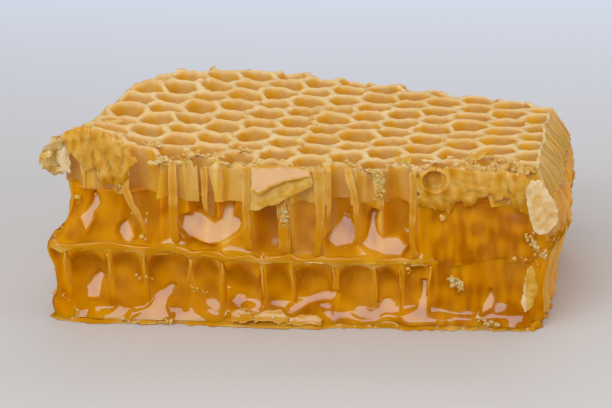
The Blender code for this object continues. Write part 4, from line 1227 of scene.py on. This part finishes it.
def make_sheets():
    """The thin torn wax of the front: the two smears, the flap, the flakes and the shreds at the foot."""
    sheet("smear_left",
          [(-30.3, 25.6), (-28.2, 26.0), (-25.5, 25.7), (-22.9, 24.6), (-20.9, 23.4)],
          [(-30.3, 22.9), (-29.2, 22.5), (-28.5, 21.5), (-27.7, 20.3), (-26.7, 20.7), (-26.1, 19.4),
           (-25.4, 18.5), (-24.6, 18.5), (-23.6, 17.3), (-22.9, 19.0), (-22.2, 19.3), (-21.5, 21.2),
           (-20.9, 22.3)],
          lambda x, z: 0.18 - 0.25 * soft_step(-z, -20.5, -18.0), 0.7, 130,
          ("soaked", streaked(0.22, 0.36, 136, 21.0, 18.0)), 0.16, 0.11)
    hole_x, hole_z = 17.6, 19.6

    def around_hole(x, z):
        """A rim exp(-((reach - 1.7) / 0.3)^2) round a hole, on a smear that sinks in below it."""
        reach = np.hypot(x - hole_x, 1.15 * (z - hole_z))
        ring_and_hole = 0.3 * np.exp(-(((reach - 1.7) / 0.3) ** 2)) - 1.1 * soft_step(-reach, -1.6, -1.3)
        return 0.2 + ring_and_hole - 0.4 * soft_step(-z, -18.0, -15.6)

    sheet("smear_right",
          [(15.5, 20.9), (18.3, 21.3), (22.0, 21.1), (25.8, 20.9), (28.3, 20.8), (30.1, 20.0)],
          [(15.1, 16.3), (16.2, 15.8), (17.9, 15.7), (19.2, 15.3), (20.5, 16.8), (22.0, 16.0), (23.0, 17.2),
           (24.4, 17.7), (25.4, 16.7), (26.4, 17.4), (27.6, 16.1), (28.9, 15.2), (29.8, 14.9)],
          around_hole, 0.8, 140, ("soaked", streaked(0.28, 0.25, 146, 18.6, 15.6)), 0.14, 0.08,
          columns=200, rows=48)
    sheet("flap_top",
          [(-6.0, 21.2), (-3.0, 21.3), (-0.9, 21.2), (1.6, 21.0)],
          [(-5.8, 18.3), (-4.7, 17.9), (-3.0, 18.7), (-1.3, 19.4), (0.3, 19.7), (1.8, 19.9)],
          even_slope(21.0, 0.10), 0.16, 150, ("soaked", some(0.7)), 0.05, 0.0, ("torn_flap",), rows=24)
    sheet("flap_hanging",
          [(-6.0, 18.9), (-4.5, 18.4), (-3.0, 19.1), (-1.2, 19.8), (1.9, 19.9)],
          [(-6.1, 15.5), (-5.0, 15.5), (-4.0, 16.1), (-2.4, 16.4), (-1.2, 17.2), (0.2, 17.9), (1.9, 18.7)],
          lambda x, z: 0.40 + 0.1 * (19.0 - z), 0.12, 160, ("pale", some(0.1)), 0.06, 0.04, rows=24)
    corner_top = [(29.1, 18.4), (29.7, 19.6), (30.8, 19.6), (32.0, 18.0), (33.0, 15.8), (33.1, 14.6)]
    corner_foot = [(29.2, 16.8), (29.5, 14.8), (30.0, 13.2), (30.8, 12.6), (31.9, 12.7), (32.9, 13.9)]
    sheet("flake_corner", corner_top, corner_foot,
          lambda x, z: 0.5 - 0.28 * np.maximum(x - 30.5, 0.0), 0.3, 170,
          ("pale", pale_rim(corner_top + corner_foot[::-1], 0.65, 0.9)), 0.08, 0.08, ("corner_flake",))
    sheet("flake_foot",
          [(28.7, 6.3), (29.1, 8.2), (29.6, 8.8), (30.2, 7.6), (30.5, 5.4)],
          [(28.6, 5.8), (28.4, 4.0), (28.8, 2.5), (29.8, 3.1), (30.4, 4.9)],
          lambda x, z: 0.35 + 0.3 * (29.5 - x), 0.3, 180,
          ("pale", lambda flat: soft_step(-flat[:, 0], -29.2, -28.7)), 0.06, 0.08, ("foot_flake",),
          columns=80)
    # Upper edge, lower edge and how soaked each shred is
    shreds = (
        ([(-9.4, 1.9), (-8.0, 2.3), (-6.4, 1.7)], [(-9.2, 0.9), (-7.8, 0.6), (-6.2, 0.9)], 0.9),
        ([(-6.2, 1.5), (-4.6, 2.2), (-2.6, 2.2), (-1.4, 1.5)],
         [(-6.0, 0.7), (-4.2, 0.9), (-2.7, 0.7), (-1.6, 0.8)], 0.6),
        ([(-3.0, 0.9), (-1.2, 1.4), (0.8, 1.7), (2.8, 1.3)],
         [(-3.2, 0.4), (-1.2, 0.35), (0.9, 0.5), (2.7, 0.4)], 0.7),
    )
    for number, (upper_edge, lower_edge, soaked) in enumerate(shreds):
        top = max(height for _, height in upper_edge)
        sheet(f"foot_shred_{number + 1}", upper_edge, lower_edge, rounded_slope(top, 0.45), 0.2,
              190 + 6 * number, ("soaked", some(soaked)), 0.06, 0.02, columns=64, rows=20)


def make_curl():
    """The ribbon of wax that loops out of the left corner: a tube along a line on the front, roughened by
    smooth noise, with a thin film inside the loop."""
    line = read_evenly([(-30.0, 23.7), (-31.5, 24.0), (-32.5, 23.3), (-32.9, 22.3), (-33.2, 21.4),
                        (-32.7, 20.5), (-32.0, 20.1), (-30.9, 19.8)], 60)
    along, across, outward = on_line(line[None, :, 0], line[None, :, 1], -1.2)
    half_widths = (0.6, 0.65, 0.6, 0.8, 1.15, 1.0, 0.5, 0.2)
    widths = read_evenly([(float(k), 0.0, half) for k, half in enumerate(half_widths)], 60)[None, :, 2]
    points, quads = tube(along, across, outward, widths, 0.7 * np.sqrt(widths), 20)
    points = points + np.stack([0.16 * wander(points, 1.3, 210 + k) + 0.08 * wander(points, 0.5, 213 + k)
                                for k in range(3)], axis=-1)
    piece("curl", points, quads, "scrap_wax", ("wax_curl",),
          {"pale": 0.3 + 0.6 * soft_step(wander(points, 1.5, 216), 0.3, 1.3)})
    sheet("curl_film",
          [(-32.3, 22.6), (-31.4, 22.9), (-30.2, 22.8)], [(-32.6, 20.2), (-31.6, 19.7), (-30.2, 19.5)],
          lambda x, z: -1.1 + 0.0 * x, 0.16, 220, ("pale", some(1.6)), 0.08, 0.08,
          columns=50, rows=40)


def make_scattered():
    """Crumbs, shavings, glints, drops and bubbles: random ones on the rims, and others at chosen spots."""
    random = np.random.default_rng(120)
    rims = on_rims(170, 1.2, 121)
    lumps("rim_crumbs", rims + random.normal(0.0, 0.12, rims.shape), random.gamma(3.0, 0.045, len(rims)),
          122, random.uniform(0.0, 0.9, len(rims)), 0.4)
    corner = on_rims(110, 2.2, 123, (20.0, 29.5))
    lumps("corner_crumbs", corner + random.normal(0.0, 0.2, corner.shape),
          random.gamma(3.0, 0.075, len(corner)), 124, random.uniform(0.0, 0.35, len(corner)), 0.4)
    # From one place to another on the front: how many crumbs, how large, and how far they stray
    spots = [(10.4, 20.6, 10.4, 17.2, 46, 0.17, 0.3), (29.2, 12.6, 31.4, 9.4, 36, 0.17, 0.3),
             (19.4, 7.0, 20.9, 5.2, 26, 0.20, 0.3), (-2.2, 15.9, -1.6, 13.1, 34, 0.19, 0.2),
             (-24.6, 25.0, -22.4, 18.0, 30, 0.13, 0.6), (21.0, 20.6, 29.0, 18.4, 110, 0.17, 0.8),
             (-23.5, 0.6, -17.0, 0.4, 20, 0.16, 0.3), (-8.0, 1.2, 2.5, 0.5, 12, 0.14, 0.4),
             (22.6, 1.6, 25.5, 0.6, 16, 0.18, 0.4), (-21.8, 15.2, -20.5, 14.2, 9, 0.14, 0.3)]
    places, sizes, pale = [], [], []
    for x0, z0, x1, z1, count, size, spread in spots:
        share = random.uniform(0.0, 1.0, count)
        x = x0 + share * (x1 - x0) + random.normal(0.0, spread, count)
        sizes.append(np.minimum(size * random.uniform(0.5, 1.5, count), 0.4))
        z = np.maximum(z0 + share * (z1 - z0) + random.normal(0.0, 0.7 * spread, count), 1.5 * sizes[-1])
        places.append(on_front(x, z, random.uniform(-0.05, 0.25, count) + (0.6 if z0 < 3.0 else 0.0)))
        pale.append(random.uniform(0.0, 0.7, count))
    lumps("front_crumbs", np.concatenate(places), np.concatenate(sizes), 125, np.concatenate(pale), 0.35)

    make_shavings(on_rims(64, 2.2, 129))
    drops = on_rims(20, 12.0, 126)
    # Each glint goes to the nearest place on a rim
    glints = np.array([(-10.4, 0.9), (-2.9, -0.3), (16.8, -7.8), (-9.6, -9.7), (-4.4, -22.6), (-3.2, -22.9),
                       (20.6, -22.4), (24.5, -21.0), (-1.5, -12.9)])
    spread = np.stack(np.meshgrid(*[np.linspace(-1.8, 1.8, 37)] * 2), axis=-1).reshape(-1, 2)
    around = glints[:, None] + spread[None]
    distance = wall_distance(around.reshape(-1, 2), 0.0, UPPER_WALLS).reshape(around.shape[:2])
    chosen = np.argmin(np.hypot(*spread.T)[None] + 9.0 * (distance > 0.2), axis=1)
    x, y = around[np.arange(len(glints)), chosen].T
    # The glints are drops paler than the other drops: the pale colour is partly a painted glint, and the
    # glossy finish gives their real highlight.
    lumps("rim_glints", settle(np.column_stack([x, y, RIM_TOP + rim_bumps(x, y) + 0.05])),
          random.uniform(0.32, 0.5, len(x)), 134, np.full(len(x), 0.6), 0.1)
    lumps("honey_drops", drops, random.uniform(0.14, 0.32, len(drops)), 127,
          random.uniform(0.0, 0.2, len(drops)), 0.1, 0.7)
    bubble_spots = [(18.5, 14.6, 0.42), (18.3, 14.9, 0.25), (-33.0, 3.7, 0.3), (-20.7, 11.6, 0.3),
                    (-20.2, 11.3, 0.22), (-21.6, 6.4, 0.22), (-9.4, 5.0, 0.2), (14.0, 8.0, 0.25)]
    # Strings of small bubbles: from, to, and how many
    strings = ((-15.2, 5.2, -12.4, 4.0, 14), (-21.6, 6.2, -19.4, 6.0, 7), (-31.8, 3.4, -29.4, 0.9, 16),
               (-27.0, 17.9, -26.2, 16.6, 5), (-29.6, 16.8, -28.4, 15.8, 6), (13.6, 8.3, 14.6, 7.0, 7),
               (-5.0, 9.4, -4.2, 9.2, 3), (20.8, 2.4, 22.6, 1.4, 8), (26.6, 9.6, 30.6, 9.0, 10))
    for x0, z0, x1, z1, count in strings:
        share = random.uniform(0.0, 1.0, count)
        bubble_spots += list(zip(x0 + share * (x1 - x0) + random.normal(0.0, 0.15, count),
                                 z0 + share * (z1 - z0) + random.normal(0.0, 0.2, count),
                                 random.gamma(4.0, 0.035, count)))
    x, z, size = np.array(bubble_spots).T
    lumps("bubbles", on_front(x, z), size, 128, np.full(len(x), 0.1), 0.2)


make_open_cells()
make_upper_honey()
make_lower_honey()
make_midrib()
make_foot()
make_cut_walls("walls_above", upper, (RIM_TOP - 0.35, rim_bumps), MIDRIB_TOP + 0.3, 81,
               half_width=0.45, half_thickness=0.20, stands_out=0.0, taper=(0.8, 1.0), skip_front=True)
make_cut_walls("walls_below", lower, (LOWER_TOP + 0.1, None), CAPPINGS_TOP, 91,
               half_width=0.13, half_thickness=0.10, stands_out=-0.05, taper=(0.3, 0.75), skip_front=False)
make_front_ribs()
make_sheets()
make_curl()
make_scattered()


# --- Floor, light and camera, with places and sizes in metres ---

FLOOR_CORNERS = ((-3.0, -3.0, 0.0), (3.0, -3.0, 0.0), (3.0, 5.0, 0.0), (-3.0, 5.0, 0.0))
FLOOR_FADE = 0.4  # how far behind the piece the floor has turned cool
ELEVATION, TURN, ROLL = 15.298, 9.822, -1.886  # of the camera, in degrees
AIM = np.array([1.305, -23.735, 16.176]) * MM
CAMERA_DISTANCE = 306.58 * MM
LENS, SENSOR_WIDTH = 141.2, 36.0  # in the lens's own millimetres
# Name, place, aim, size, power and colour of each light, and whether it shows in what is glossy
LIGHTS = (
    ("softbox", (-0.064, -0.372, 0.245), (0.0, -0.02, 0.01), (0.36, 0.12), 0.85, (0.62, 0.82, 1.0), True),
    ("key", (-0.16, -0.26, 0.42), (0.0, 0.0, 0.01), (0.4, 0.4), 0.62, (1.0, 0.97, 0.96), False),
    ("side light", (0.42, -0.06, 0.12), (0.02, 0.0, 0.01), (0.2, 0.2), 0.32, (1.0, 0.98, 0.98), False),
    ("back light", (0.05, 0.55, 0.45), (0.0, 0.0, 0.01), (0.6, 0.3), 0.85, (0.95, 0.97, 1.0), True),
)
WORLD_COLOR, WORLD_STRENGTH = (0.82, 0.84, 0.95, 1.0), 0.67


def make_floor():
    """A plain pale floor that turns from warm white under the piece to a cool white far behind it."""
    mesh = bpy.data.meshes.new("floor")
    mesh.from_pydata(FLOOR_CORNERS, [], [(0, 1, 2, 3)])
    floor = bpy.data.objects.new("floor", mesh)
    bpy.context.collection.objects.link(floor)
    made = Finish("floor")
    made.settings(Roughness=0.55)
    apart = made.tree.nodes.new("ShaderNodeSeparateXYZ")
    made.join(made.place, apart.inputs[0])
    farness = made.sums("MULTIPLY", apart.outputs["Y"], 1.0 / FLOOR_FADE)
    color = made.ramp(farness, [(0.0, (0.66, 0.60, 0.53)), (0.12, (0.66, 0.61, 0.55)),
                                (0.6, (0.89, 0.94, 1.0)), (1.0, (0.95, 1.0, 1.0))])
    made.join(color, made.shader.inputs["Base Color"])
    mesh.materials.append(made.material)
    floor.visible_glossy = False


def make_light(name, place, aim, size, power, color, shows):
    """A softbox of this width and height at its place, turned to face its aim."""
    light = bpy.data.lights.new(name, "AREA")
    light.shape = "RECTANGLE"
    light.size, light.size_y = size
    light.energy = power
    light.color = color
    made = bpy.data.objects.new(name, light)
    bpy.context.collection.objects.link(made)
    made.location = place
    made.rotation_euler = (Vector(aim) - Vector(place)).to_track_quat("-Z", "Y").to_euler()
    made.visible_glossy = shows


def make_camera():
    """A long lens at the height and turn from which the piece is looked at."""
    elevation, turn, roll = math.radians(ELEVATION), math.radians(TURN), math.radians(ROLL)
    forward = np.array([-math.sin(turn) * math.cos(elevation), math.cos(turn) * math.cos(elevation),
                        -math.sin(elevation)])
    level = np.array([math.cos(turn), math.sin(turn), 0.0])
    upright = np.cross(level, forward)
    right = math.cos(roll) * level + math.sin(roll) * upright
    up = np.cross(right, forward)
    place = AIM - CAMERA_DISTANCE * forward
    camera = bpy.data.cameras.new("camera")
    camera.lens = LENS
    camera.sensor_width = SENSOR_WIDTH
    camera.clip_start = 0.01
    made = bpy.data.objects.new("camera", camera)
    bpy.context.collection.objects.link(made)
    axes = np.column_stack([right, up, -forward])
    made.matrix_world = Matrix([[*axes[i], place[i]] for i in range(3)] + [[0.0, 0.0, 0.0, 1.0]])
    bpy.context.scene.camera = made


def make_world():
    """Even soft light from all sides, which doesn't show in what is glossy."""
    world = bpy.data.worlds.new("studio")
    world.use_nodes = True
    background = world.node_tree.nodes["Background"]
    background.inputs["Color"].default_value = WORLD_COLOR
    background.inputs["Strength"].default_value = WORLD_STRENGTH
    bpy.context.scene.world = world
    world.cycles_visibility.glossy = False
    bpy.context.scene.view_settings.view_transform = "Standard"


make_floor()
make_camera()
for light in LIGHTS:
    make_light(*light)
make_world()
